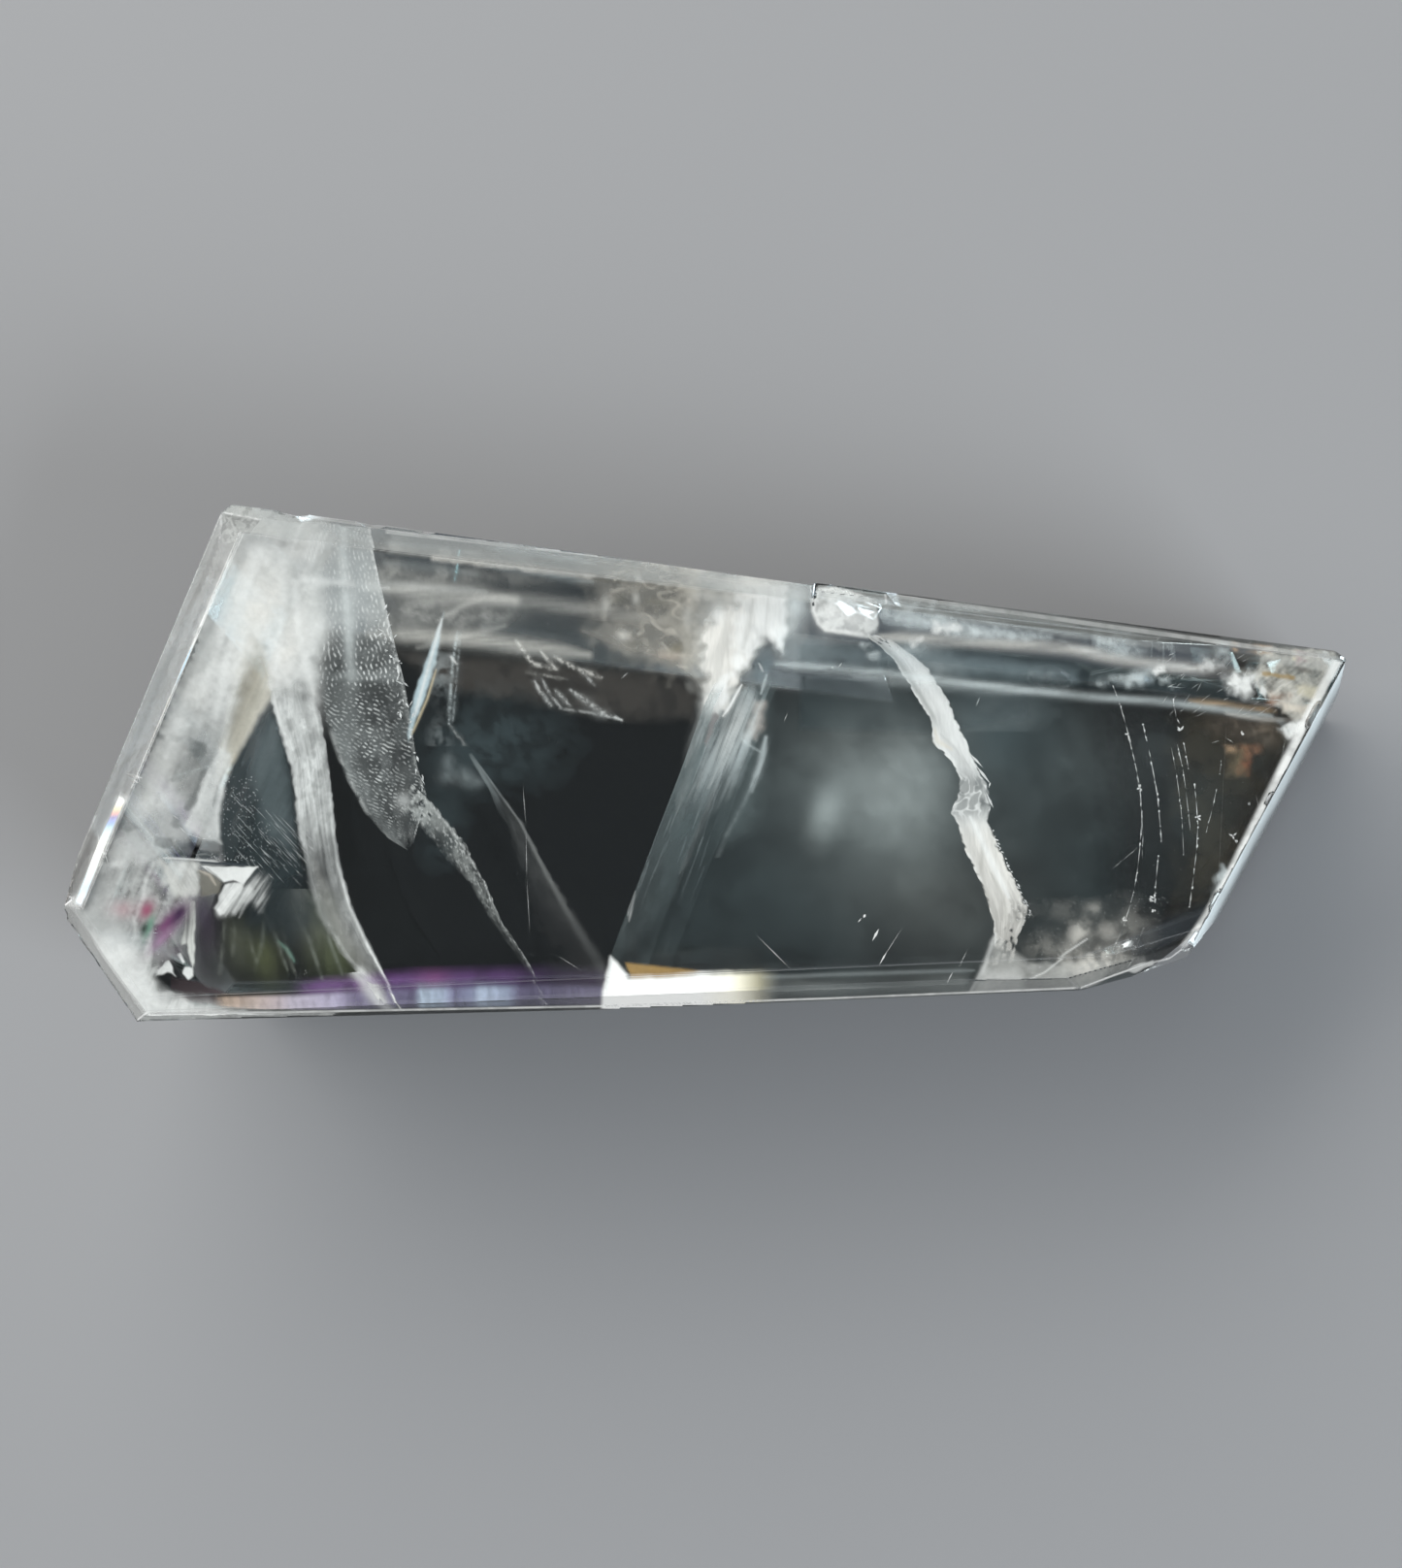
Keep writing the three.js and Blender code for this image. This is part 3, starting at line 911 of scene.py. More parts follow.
def dark_gaps():
    """Painted dark parallelograms in the haze, where the dark of the block shows."""
    gaps = Patch("haze_gaps", GAPS_BOX, (0.5, 0.6), 0.12, seed=23)
    gaps.tuck()
    for outline, strength in GAPS:
        gaps.area(outline, 3, strength, (0.03, 0.04, 0.04), 0.8)
    gaps.shade(0.7 + 0.4 * gaps.clouds(1.2))
    gaps.build()


BLADE_LEFT = [
    (268, 664, 3), (272, 700, 3.2), (280, 735, 3.5), (288, 758, 3.7), (298, 790, 4), (303, 837, 4),
    (308, 870, 4), (315, 910, 4), (325, 945, 4), (350, 985, 3), (377, 1012, 1.4), (397, 1044, 0.8),
]
BLADE_RIGHT = [
    (320, 640, 4.2), (322, 705, 4.6), (332, 740, 4.6), (338, 775, 5), (343, 815, 5), (347, 855, 5),
    (352, 890, 5), (365, 935, 4.6), (386, 980, 3.6), (404, 1016, 1.6), (414, 1044, 0.8),
]
# (place across at the start, at the end, width, strength, first, last) in shares of the blade
BLADE_STRANDS = (
    (0.24, 0.16, 0.09, 0.3, 0.32, 0.8), (0.74, 0.72, 0.14, 0.3, 0.3, 0.8),
    (0.5, 0.5, 0.5, 0.055, 0.3, 2), (0.93, 0.88, 0.05, 0.7, 0.3, 2),
    (0.8, 0.86, 0.08, 0.35, 0.6, 2),
)
BLADE_LEFT_LINE = [(281, 722), (291, 750), (300, 785), (306, 820), (311, 870)]
BLADE_FOOT_LINE = [(322, 890), (338, 930), (353, 962), (370, 988), (382, 1014), (396, 1042)]
BLADE_FOOT = [(372, 1000), (384, 1020), (397, 1042)]


def blade():
    """Fibrous blade that runs from the corner down to the front wall."""
    sheet = Sheet("fibrous_blade", BLADE_LEFT, BLADE_RIGHT, 0.09, seed=31)
    sheet.lift(sheet.noise(6, 3) * 0.05)
    sheet.tuck(0.15)
    down = sheet.along
    strands = 0.5 + 0.34 * sheet.fibres(14, 0.8) + 0.14 * sheet.fibres(7, 0.3) + 0.28 * sheet.clouds(1.4)
    feathered = sheet.fade(0.12, 0, 0.12, 0.06, 0.02, 0.9)
    body = 0.6 + 0.35 * peak(sheet.across, 0.5, 0.35)
    sheet.area_of((1 - ramp(down, 0.36, 0.62)) * body * feathered, strands, WHITE)
    for start, end, width, strength, first, last in BLADE_STRANDS:
        middle = start + (end - start) * down
        profile = peak(sheet.across, middle, width)
        sheet.area_of(
            profile * ramp(down, first, first + 0.25) * (1 - ramp(down, last, last + 0.12)),
            strength * strands, WHITE,
        )
    sheet.line(BLADE_LEFT_LINE, 6, 0.45, WHITE)
    sheet.line(BLADE_FOOT_LINE, 8, 0.22, (0.90, 0.89, 0.86))
    sheet.line(BLADE_FOOT, 10, 0.5, WHITE)
    sheet.shade(sheet.fade(0.1, 0.01, 0.10, 0.05, 0.02, 0.7) * (0.8 + 0.3 * sheet.clouds(2)))
    sheet.build("fibrous_veil")


# (depths in mm, step in mm, share of the whole) of each layer
FROST_LAYERS = [((1.2, 2.2), 0.11, 1.0), ((5.0, 7.0), 0.2, 0.35)]
FROST_BOX = box(64, 790, 345, 1056)
FROST_RIM = [
    (66, 950), (98, 962), (136, 976), (152, 1000), (158, 1010), (176, 1024), (345, 1043),
    (345, 1060), (140, 1060), (100, 1030),
]
FROST_UNDER_PLATE = [(162, 887), (203, 889), (203, 922), (186, 934), (168, 912)]
FROST_CLUMPS = [
    (156, 822, 20, 12, 0.45), (140, 866, 26, 12, 0.35), (186, 899, 12, 8, 0.4),
    (150, 836, 22, 10, 0.25), (112, 975, 16, 20, 0.3), (110, 940, 22, 24, 0.15),
]
FROST_FEATHERS = [
    ([(158, 889), (150, 905), (147, 925), (140, 945)], 2.2, 0.6),
    ([(140, 888), (136, 905), (126, 925)], 2.0, 0.4),
    ([(128, 890), (118, 915), (104, 935)], 2.4, 0.35),
    ([(172, 935), (176, 948), (171, 966)], 1.6, 0.3),
    ([(137, 945), (140, 960), (136, 975)], 2.2, 0.45),
    ([(160, 950), (152, 975), (150, 990)], 2.0, 0.4),
    ([(122, 975), (134, 1000), (138, 1020)], 2.5, 0.4),
    ([(150, 985), (148, 1010), (152, 1022)], 2.5, 0.35),
]
FROST_GAPS = [
    ([(162, 913), (174, 911), (173, 930), (163, 928)], 0.6),
    ([(178, 924), (188, 926), (184, 934), (177, 931)], 0.5),
    ([(133, 900), (139, 897), (136, 909), (131, 911)], 0.4),
    ([(119, 848), (140, 850), (138, 858), (118, 857)], 0.3),
    ([(156, 952), (186, 950), (182, 985), (176, 998), (154, 998)], 0.7),
]
# (x, y, half width, half height, turn, strength, tint)
FROST_COLOURS = [
    (151, 938, 8, 10, 0.4, 1.0, (0.34, 0.10, 0.17)),
    (126, 937, 13, 9, 0.0, 0.5, (0.60, 0.38, 0.42)),
    (153, 955, 4, 14, 0.35, 0.9, (0.16, 0.36, 0.26)),
    (148, 957, 4, 8, 0.35, 0.95, (0.02, 0.04, 0.03)),
    (174, 950, 8, 22, 0.75, 1.0, (0.20, 0.07, 0.17)),
    (166, 968, 5, 18, 0.75, 0.7, (0.36, 0.20, 0.34)),
    (184, 942, 7, 15, 0.6, 1.0, (0.05, 0.02, 0.06)),
]


def frost_details(frost, cross):
    """Clumps, feathers, clear gaps and thin-film colours of the upper layer."""
    frost.area(FROST_UNDER_PLATE, 8, 0.3 + 0.3 * cross, (0.80, 0.80, 0.77), 2)
    frost.spots(FROST_CLUMPS, 0.5, 0.6, 2, WHITE, -0.3)
    for points, width, strength in FROST_FEATHERS:
        frost.line(points, width * 1.4, strength * 0.6 * (0.5 + 0.7 * frost.clouds(1.0)), WHITE)
    for outline, strength in FROST_GAPS:
        frost.clear(outline, 3, strength)
    for x, y, half_x, half_y, turn, strength, tint in FROST_COLOURS:
        frost.glow(x, y, half_x, half_y, strength, tint, turn)


def front_frost():
    """Feathery white mass in the front left corner, around a clear window with thin-film colours."""
    for number, (depths, step, share) in enumerate(FROST_LAYERS):
        frost = Patch(f"front_frost_{number + 1}", FROST_BOX, depths, step, seed=41 + number)
        frost.lift(frost.noise(3, 3) * 0.08)
        frost.tuck()
        feather = frost.fibres(5, 0.7, LEAN)
        cross = frost.fibres(3, 0.6, -0.5)
        edge = 1 - ramp(frost.y, 880, 900) * (1 - ramp(frost.y, 950, 985)) * 0.35
        facet = 1 - ramp(frost.x - 66 - 0.42 * (frost.y - 934), 40, 70)
        mass = (0.24 + 0.20 * feather + 0.22 * frost.clouds(1.2)) * (1 - facet)
        ground = (0.56 + 0.14 * frost.clouds(3)) * facet
        frost.area(FRONT_FROST, 6, share * (mass + ground) * edge, WHITE, 1.5)
        frost.area(FROST_RIM, 14, share * 0.42, WHITE, 1)
        if number == 0:
            frost_details(frost, cross)
        frost.build()


WINDOW_BOX = box(180, 920, 420, 1030)
# The near-black entries paint the dark of the clear window; the purple and green ones are thin-film
# colours.
# (x, y, half width, half height, turn, strength, tint)
WINDOW_TINTS = [
    (212, 962, 13, 42, 0.0, 0.85, (0.055, 0.045, 0.06)),
    (208, 940, 8, 14, 0.0, 0.4, (0.10, 0.07, 0.13)),
    (246, 968, 14, 34, 0.0, 0.45, (0.16, 0.17, 0.12)),
    (272, 984, 16, 28, -0.2, 0.42, (0.17, 0.19, 0.09)),
    (300, 930, 14, 30, -0.4, 0.16, (0.55, 0.60, 0.56)),
    (322, 985, 14, 26, -0.3, 0.3, (0.06, 0.07, 0.03)),
    (348, 987, 18, 26, -0.5, 0.42, (0.19, 0.22, 0.11)),
    (330, 940, 20, 22, -0.5, 0.2, (0.26, 0.30, 0.20)),
]
JADE_LINE = [(286, 970), (295, 978), (303, 991)]
WINDOW_LONG_LINES = (
    [(262, 925), (282, 960), (296, 1000)], [(300, 930), (318, 968), (332, 1010)],
    [(272, 935), (270, 970), (262, 1000)], [(312, 915), (334, 955), (352, 1004)],
)
WINDOW_SHORT_LINES = (
    [(232, 945), (229, 975), (226, 1005)], [(241, 950), (240, 985)], [(256, 960), (262, 990)],
    [(288, 945), (294, 975), (304, 1005)],
)
WINDOW_FOOT = [(160, 1003), (170, 1003), (190, 1008), (204, 1011), (236, 1024), (225, 1031), (167, 1020)]
WINDOW_FOOT_CHIP = [(161, 1008), (167, 1006), (170, 1014), (164, 1016)]


def front_window():
    """Dark purple and moss-green colours in the clear window by the front wall."""
    window = Patch("window_tints", WINDOW_BOX, (4.5, 5.5), 0.2, seed=47)
    window.tuck()
    stripes = 0.75 + 0.35 * window.fibres(7, 1.6, -0.1)
    for x, y, half_x, half_y, turn, strength, tint in WINDOW_TINTS:
        window.glow(x, y, half_x, half_y, strength * stripes, tint, turn)
    window.glow(300, 935, 30, 28, 0.10 * stripes, (0.60, 0.63, 0.58))
    window.glow(326, 962, 16, 20, 0.10 * stripes, (0.60, 0.63, 0.50))
    # Painted dark of the clear window.
    window.glow(222, 994, 15, 22, 0.7, (0.03, 0.033, 0.03))
    window.glow(303, 912, 9, 34, 0.26, (0.76, 0.78, 0.76), -0.12)
    window.line(JADE_LINE, 2.0, 0.35, (0.42, 0.72, 0.60))
    for points in WINDOW_LONG_LINES:
        window.line(points, 2.0, 0.16 * (0.4 + window.clouds(1)), (0.60, 0.64, 0.58))
    for points in WINDOW_SHORT_LINES:
        window.line(points, 1.6, 0.14 * (0.4 + window.clouds(1)), (0.50, 0.52, 0.46))
    # The dark foot of the window is painted dark too.
    window.area(WINDOW_FOOT, 3, 0.9, (0.07, 0.05, 0.055), 0.8)
    window.area(WINDOW_FOOT_CHIP, 3, 0.3, (0.5, 0.5, 0.5), 0.8)
    window.build()


PLATE_BOX = box(158, 872, 310, 960)
PLATE_RIGHT_RAYS = [(256, 900), (268, 897), (278, 905), (278, 928), (266, 940), (254, 930), (250, 914)]
PLATE_LOWER_RAYS = [(231, 911), (252, 910), (264, 914), (256, 930), (243, 944), (230, 946), (226, 930)]
PLATE_RAY_LINES = [
    ([(250, 915), (240, 932), (232, 944)], 1.6, 0.3),
    ([(257, 912), (246, 928), (239, 940)], 1.5, 0.25),
    ([(262, 918), (252, 934), (246, 946)], 1.4, 0.2),
]
PLATE_UNDERSIDE = [(203, 897), (215, 899), (229, 910), (225, 922), (207, 924), (203, 911)]
PLATE_BEIGE_LINE = [(205, 897), (216, 902), (222, 912)]
PLATE_FACE = [
    (206, 892), (236, 893), (266, 893), (258, 903), (251, 911), (240, 908), (230, 910), (218, 900)
]
PLATE_FLAP = [
    (231, 911), (240, 908), (252, 911), (248, 921), (238, 932), (231, 942), (226, 945), (221, 936),
    (225, 925),
]
PLATE_LEFT_CREASE = [(212, 894), (222, 902), (231, 910)]
PLATE_RIGHT_CREASE = [(231, 910), (240, 908), (248, 910)]
PLATE_TOP_LINE = [(168, 884), (200, 886), (225, 888)]
PLATE_UNDERCUT = [(196, 888), (235, 890.5), (256, 892)]
PLATE_NOTCH = [(203, 880), (206, 877), (215, 878), (226, 881), (224, 886), (205, 886)]
PLATE_NOTCH_LINE = [(202, 881), (212, 880), (219, 882)]


def shard():
    """Bright plate of a broken cleavage step, its undercut line in painted shade and the rays that spread
    from it.
    """
    plate = Patch("shard", PLATE_BOX, (1.6, 2.4), 0.09, seed=51)
    plate.tuck()
    rays = plate.fibres(5, 0.35, 0.55)
    plate.area(PLATE_RIGHT_RAYS, 9, 0.12 + 0.36 * rays, WHITE, 1.5)
    plate.area(PLATE_LOWER_RAYS, 5, 0.2 + 0.4 * rays, WHITE, 1)
    for points, width, strength in PLATE_RAY_LINES:
        plate.line(points, width, strength, WHITE)
    # The underside of the plate is painted shade.
    plate.area(PLATE_UNDERSIDE, 3, 0.75, (0.20, 0.19, 0.16), 1)
    plate.line(PLATE_BEIGE_LINE, 1.6, 0.5, BEIGE)
    plate.area(PLATE_FACE, 1.4, 0.95, WHITE, 0.4)
    ray_mask = 0.55 + 0.5 * plate.fibres(6, 0.3, 0.6)
    plate.area(PLATE_FLAP, 1.8, 0.8 * ray_mask, WHITE, 0.5)
    plate.glow(226, 939, 3.5, 5, 0.6, WHITE)
    # Painted shade along the creases.
    plate.line(PLATE_LEFT_CREASE, 0.9, 0.55, (0.12, 0.12, 0.11))
    plate.line(PLATE_RIGHT_CREASE, 0.9, 0.3, CREASE_SHADE_GREY)
    plate.line(PLATE_TOP_LINE, 1.0, 0.8, WHITE)
    # The undercut line and the notch are painted shade.
    plate.line(PLATE_UNDERCUT, 1.3, 0.95, RECESS_SHADE)
    plate.area(PLATE_NOTCH, 2, 0.7, RECESS_SHADE, 0.6)
    plate.line(PLATE_NOTCH_LINE, 0.9, 0.5, (0.5, 0.52, 0.52))
    plate.build()


SPIKES_BOX = box(155, 920, 240, 1016)
SPIKE = [
    (190, 929), (201, 929), (202, 944), (201, 968), (199, 999), (195, 985), (192, 973), (187, 974),
    (191, 952),
]
SPIKE_SHADE = [(194, 931), (194, 950), (192, 972)]
SPIKE_CREASE = [(199, 945), (197, 965), (198, 985)]
SPIKE_FOOT = [(191, 997), (199, 997), (200, 1006), (194, 1009), (189, 1003)]
LOWER_CHIP = [(160, 1006), (166, 997), (174, 990), (177, 996), (181, 1006), (172, 1002)]
SMALL_CHIP = [(182, 984), (186, 982), (192, 992), (188, 994)]
SPIKE_HAZE = [(166, 968), (188, 975), (186, 992), (174, 990), (164, 1000), (156, 985)]


def left_spikes():
    """White spikes and chips in the clear window."""
    spikes = Patch("left_spikes", SPIKES_BOX, (2.6, 3.0), 0.09, seed=57)
    spikes.area(SPIKE, 2, 0.85, (0.86, 0.87, 0.84), 0.5)
    # Painted shade beside the spike and along its crease.
    spikes.line(SPIKE_SHADE, 1.6, 0.6, (0.12, 0.11, 0.13))
    spikes.line(SPIKE_CREASE, 0.8, 0.3, CREASE_SHADE_GREY)
    spikes.area(SPIKE_FOOT, 2, 0.9, WHITE, 0.6)
    spikes.area(LOWER_CHIP, 2, 0.9, WHITE, 0.7)
    spikes.area(SMALL_CHIP, 1.5, 0.9, WHITE, 0.5)
    spikes.area(SPIKE_HAZE, 8, 0.5, (0.30, 0.26, 0.30), 1)
    spikes.build()


PLATE_CRUMBS = [(205, 878), (262, 882), (262, 888), (205, 886)]
FORK_STROKES = [(226, 800), (262, 800), (296, 896), (232, 888)]
FOOT_CRUMBS = [(300, 1000), (320, 1000), (320, 1012), (300, 1012)]
FROST_CRUMBS = [(100, 900), (200, 890), (190, 990), (130, 1010)]
BENT_HAIR = [(184, 851, 0.9), (190, 858, 0.9), (203, 864, 0.9), (213, 865, 0.9), (218, 860, 0.9)]


def left_specks():
    """Specks and fine strokes around the plate and in the clear window."""
    specks = Slivers("left_specks", seed=58)
    specks.scatter(PLATE_CRUMBS, 24, 0.16, (1.2, 2.0))
    specks.scatter(FORK_STROKES, 230, 0.1, (1.5, 3.5), math.radians(-62))
    specks.scatter(FOOT_CRUMBS, 12, 0.1, (2, 4))
    specks.scatter(FROST_CRUMBS, 110, 0.09, (1.0, 3.0))
    for _ in range(64):
        x = 236 + specks.random.uniform(0, 70)
        y = 815 + (x - 236) * 0.45 + specks.random.uniform(0, 70)
        long = specks.random.uniform(6, 44)
        depth = specks.random.uniform(1.5, 3.0)
        specks.dashes(
            [(x, y, depth), (x + long * 0.68, y + long * 0.74, depth + 0.2)], 0.021, dash=1.6,
            gap=0.35, stray=0.012,
        )
    specks.dashes(BENT_HAIR, 0.08, dash=1, gap=0, stray=0.005)
    specks.add(under_top(178, 840, 0.9), under_top(185, 845, 0.9), 0.1)
    specks.build()


LEFT_RIM = [(254, 540), (211, 634), (172, 724), (157, 756), (132, 814), (84, 937)]
# (pixel y, tint)
LEFT_RIM_HIGHLIGHT_TINTS = [
    (600, WHITE), (664, WHITE), (676, (0.50, 0.74, 0.96)), (704, (0.62, 0.80, 0.95)),
    (722, (0.92, 0.84, 0.70)), (742, (0.86, 0.62, 0.42)), (770, WHITE),
]


def left_rim_highlight():
    """Painted highlight: a bright line along the inner edge of the left facet."""
    near, far = shifted(LEFT_RIM, -0.5, 0, 0.3), shifted(LEFT_RIM, 3, 0, 0.3)
    line = Sheet("left_rim_highlight", near, far, 0.09, seed=71)
    line.tuck(0.2)
    middle = peak(line.y, 672, 36)
    strength = (0.5 + 0.6 * middle) * (0.8 + 0.2 * line.noise(3, 3)) * (1 - 0.7 * ramp(line.y, 720, 800))
    tint = tint_stops(line.y, LEFT_RIM_HIGHLIGHT_TINTS)
    line.area_of(line.fade(0.02, 0.02, 0.25, 0.25), strength, tint)
    line.build("glint_veil")


GLINT_LEFT = [(121, 818, 0.3), (98, 868, 0.3), (74, 932, 0.3)]
GLINT_RIGHT = [(129, 823, 0.3), (107, 874, 0.3), (84, 936, 0.3)]
# (share of the length, tint)
SPECTRUM = [
    (0.0, WHITE), (0.08, WHITE), (0.13, (0.98, 0.80, 0.50)), (0.18, (0.80, 0.35, 0.25)),
    (0.22, (0.16, 0.12, 0.40)), (0.28, (0.20, 0.38, 0.80)), (0.34, (0.60, 0.84, 0.98)),
    (0.45, (0.98, 0.98, 0.90)), (0.6, WHITE), (0.72, (0.80, 0.95, 0.95)),
    (0.86, (0.55, 0.78, 0.98)), (1.0, (0.80, 0.90, 0.98)),
]


def rainbow_glint():
    """The spectrum that the foot of the left facet throws."""
    glint = Sheet("rainbow_glint", GLINT_LEFT, GLINT_RIGHT, 0.08, seed=72)
    glint.tuck(0.15)
    glint.area_of(
        glint.fade(0.03, 0.04, 0.12, 0.12), 1.0,
        tint_stops(glint.along + 0.05 * glint.across, SPECTRUM),
    )
    glint.build("glint_veil")


# (start, end, width in mm)
RIM_SCRATCHES = [
    ((99, 860), (112, 892), 0.09), ((97, 870), (108, 881), 0.08), ((96, 856), (101, 880), 0.06),
    ((127, 797), (147, 802), 0.16), ((133, 802), (143, 807), 0.12), ((140, 796), (144, 806), 0.1),
    ((134, 796), (138, 804), 0.08),
]


def rim_scratches():
    """Short scratches across the left facet."""
    cross = Slivers("rim_scratches", seed=73)
    for start, end, width in RIM_SCRATCHES:
        cross.add(under_top(*start, 0.35), under_top(*end, 0.35), width, 0.05)
    cross.build()


BACK_BEVEL = [
    (395, 540), (620, 568), (860, 600), (1100, 638), (1384, 676), (1380, 692), (1100, 656),
    (860, 620), (613, 594), (395, 568),
]
BACK_BEVEL_BAND = [(440, 566), (540, 576), (606, 584), (614, 590), (606, 595), (440, 576)]


def bevel_haze():
    """Soft grey haze under the back bevel."""
    for name, outline, strength, tint, seed in [
        ("back_bevel_haze", BACK_BEVEL, 0.24, (0.84, 0.87, 0.86), 75),
        ("back_bevel_band", BACK_BEVEL_BAND, 0.3, WARM_WHITE, 76),
    ]:
        haze = Patch(name, outline, (-3, -3), 0.2, seed=seed)
        haze.tuck(0.2)
        haze.area(outline, 3, strength * (0.75 + 0.4 * haze.clouds(6)), tint, 0.5)
        haze.shade(1 - 0.7 * ramp(haze.x, 1180, 1225) * (1 - ramp(haze.x, 1290, 1330)))
        haze.build()


RIGHT_EDGE = [(1384, 676), (1352, 740), (1306, 822), (1274, 878), (1228, 972)]


def right_wall_frost():
    """The matt leaning end wall on the right."""
    near, far = shifted(RIGHT_EDGE, -1, 0), shifted(RIGHT_EDGE, 71, 38)
    wall = Film("right_wall_frost", near, far, 0.3, seed=77)
    wall.area_of(
        wall.fade(0.0, 0.0, 0.0, 0.6), 0.85 * (0.85 + 0.2 * wall.clouds(6)),
        blend((0.42, 0.48, 0.50), (0.17, 0.19, 0.20), ramp(wall.across, 0.05, 0.8)),
    )
    wall.build("mist_veil")


LEFT_REAR_EDGE = [(222, 524), (392, 538), (620, 564), (838, 592)]
RIGHT_REAR_EDGE = [(912, 605), (1100, 631), (1300, 660), (1386, 672)]


def back_bevel_films():
    """The ground bevel along the back, left and right of the ledge."""
    for number, edge in enumerate((LEFT_REAR_EDGE, RIGHT_REAR_EDGE)):
        near, far = shifted(edge, 0, -14), shifted(edge, 0, 34)
        film = Film(f"back_bevel_film_{number + 1}", near, far, 0.25, seed=78 + number)
        corner = 1 - ramp(film.x, 240, 330)
        film.area_of(
            film.fade(0.01, 0.01), (0.34 + 0.08 * corner) * (0.8 + 0.3 * film.clouds(8)),
            blend((0.075, 0.080, 0.078), (0.11, 0.115, 0.11), corner),
        )
        film.shade(1 - 0.4 * ramp(film.x, 1180, 1225) * (1 - ramp(film.x, 1290, 1330)))
        film.build("mist_veil")


LEFT_EDGE = [(231, 520), (180, 640), (130, 760), (60, 920)]
GLINT_GAP = [(121, 814), (133, 820), (112, 876), (86, 940), (66, 940), (96, 868)]


def left_bevel_film():
    """The ground bevel along the left end."""
    near, far = shifted(LEFT_EDGE, -26, 0), shifted(LEFT_EDGE, 34, 12)
    film = Film("left_bevel_film", near, far, 0.25, seed=80)
    film.area_of(film.fade(0.01, 0.01), 0.36 * (0.8 + 0.3 * film.clouds(8)), (0.035, 0.036, 0.035))
    film.clear(GLINT_GAP, 3, 1.0)
    film.build("mist_veil")


FRONT_LEFT_EDGE = [(66, 930), (80, 954), (101, 989), (127, 1024), (146, 1048)]


def front_left_rim():
    """Matt rim of the facet that cuts the front left corner."""
    near, far = shifted(FRONT_LEFT_EDGE, 4, -3), shifted(FRONT_LEFT_EDGE, -26, 18)
    rim = Film("front_left_rim", near, far, 0.2, seed=84)
    rim.area_of(rim.fade(0.01, 0.01), 0.5, (0.12, 0.122, 0.12))
    rim.build("mist_veil")


def left_end():
    corner_haze()
    beige_leg()
    dark_gaps()
    blade()
    front_frost()
    front_window()
    shard()
    left_spikes()
    left_specks()
    left_rim_highlight()
    rainbow_glint()
    rim_scratches()
    bevel_haze()
    right_wall_frost()
    back_bevel_films()
    left_bevel_film()
    front_left_rim()


# ---- healed crack --------------------------------------------------------------------------------


HEALED_RIGHT = [
    (380, 540, 1.6), (386, 575, 1.8), (394, 610, 2.2), (404, 652, 2.8), (417, 704, 3.5),
    (424, 746, 4), (430, 790, 4.3), (440, 820, 4.5), (425, 872, 5),
]
HEALED_LEFT = [
    (308, 540, 3.4), (311, 642, 4.6), (322, 700, 6), (336, 752, 6.6), (352, 796, 6.6),
    (375, 838, 6.3), (400, 865, 5.6), (420, 876, 5),
]


def fingerprint_veil():
    """Healed crack full of fluid: winding ridges above, slanted dashes below."""
    sheet = Sheet("fingerprint_veil", HEALED_RIGHT, HEALED_LEFT, 0.075, seed=81)
    sheet.tuck()
    lower = ramp(sheet.y, 695, 730)
    lines = sheet.ridges(0.44, 0.0, 1.5) * (1 - lower) + sheet.ridges(0.38, math.radians(50), 1.7) * lower
    worms = ramp(lines, 0.45, 1.8) * (0.55 + 0.6 * sheet.clouds(1.5))
    band = 0.6 + 0.4 * ramp(sheet.y, 636, 650)
    plain = peak(sheet.x, 362, 6) * ramp(sheet.y, 600, 640) * (1 - ramp(sheet.y, 690, 715))
    streak = peak(sheet.x - 352 - (sheet.y - 540) * 0.05, 0, 5) * (1 - ramp(sheet.y, 650, 700))
    smooth_left = ramp(sheet.across, 0.6, 0.95) * ramp(sheet.y, 725, 770)
    cross = peak(sheet.y, 697, 6)
    edge = sheet.fade(0.0, 0.05, 0.0, 0.1, 0.006, 0.8)
    haze = 0.08 + 0.12 * sheet.clouds(3) + 0.24 * (1 - ramp(sheet.y, 610, 690))
    haze = haze + 0.25 * plain + 0.3 * streak + 0.10 * smooth_left + 0.1 * cross
    sheet.area_of(edge, haze, (0.80, 0.84, 0.85))
    sheet.area_of(edge, worms * band * (1 - 0.8 * plain) * (1 - 0.7 * smooth_left) * 0.8, WHITE)
    sheet.area_of(edge * peak(sheet.across, 0.02, 0.025), 0.5 * sheet.clouds(0.5), WHITE)
    sheet.area_of(peak(sheet.across, 0.95, 0.03) * ramp(sheet.y, 720, 760), 0.35 * sheet.clouds(1), WHITE)
    sheet.shade(
        1 - 0.5 * ramp(sheet.y, 690, 730) * (1 - ramp(sheet.across, 0.2, 0.6))
        - 0.5 * ramp(sheet.y, 815, 850) * ramp(sheet.across, 0.15, 0.45)
    )
    sheet.glow(416, 825, 8, 8, 0.4, WHITE)
    sheet.build()


BEAD_ROWS = (
    [
        (396, 620, 2.2), (404, 652, 2.8), (414, 690, 3.3), (421, 730, 3.8), (426, 775, 4.1),
        (437, 815, 4.4),
    ],
    [(388, 640, 2.6), (402, 675, 3.2), (410, 705, 3.6), (414, 745, 4)],
)
BEAD_TOP_ROW = [(380, 538, 1.2), (384, 566, 1.4), (391, 604, 1.8)]


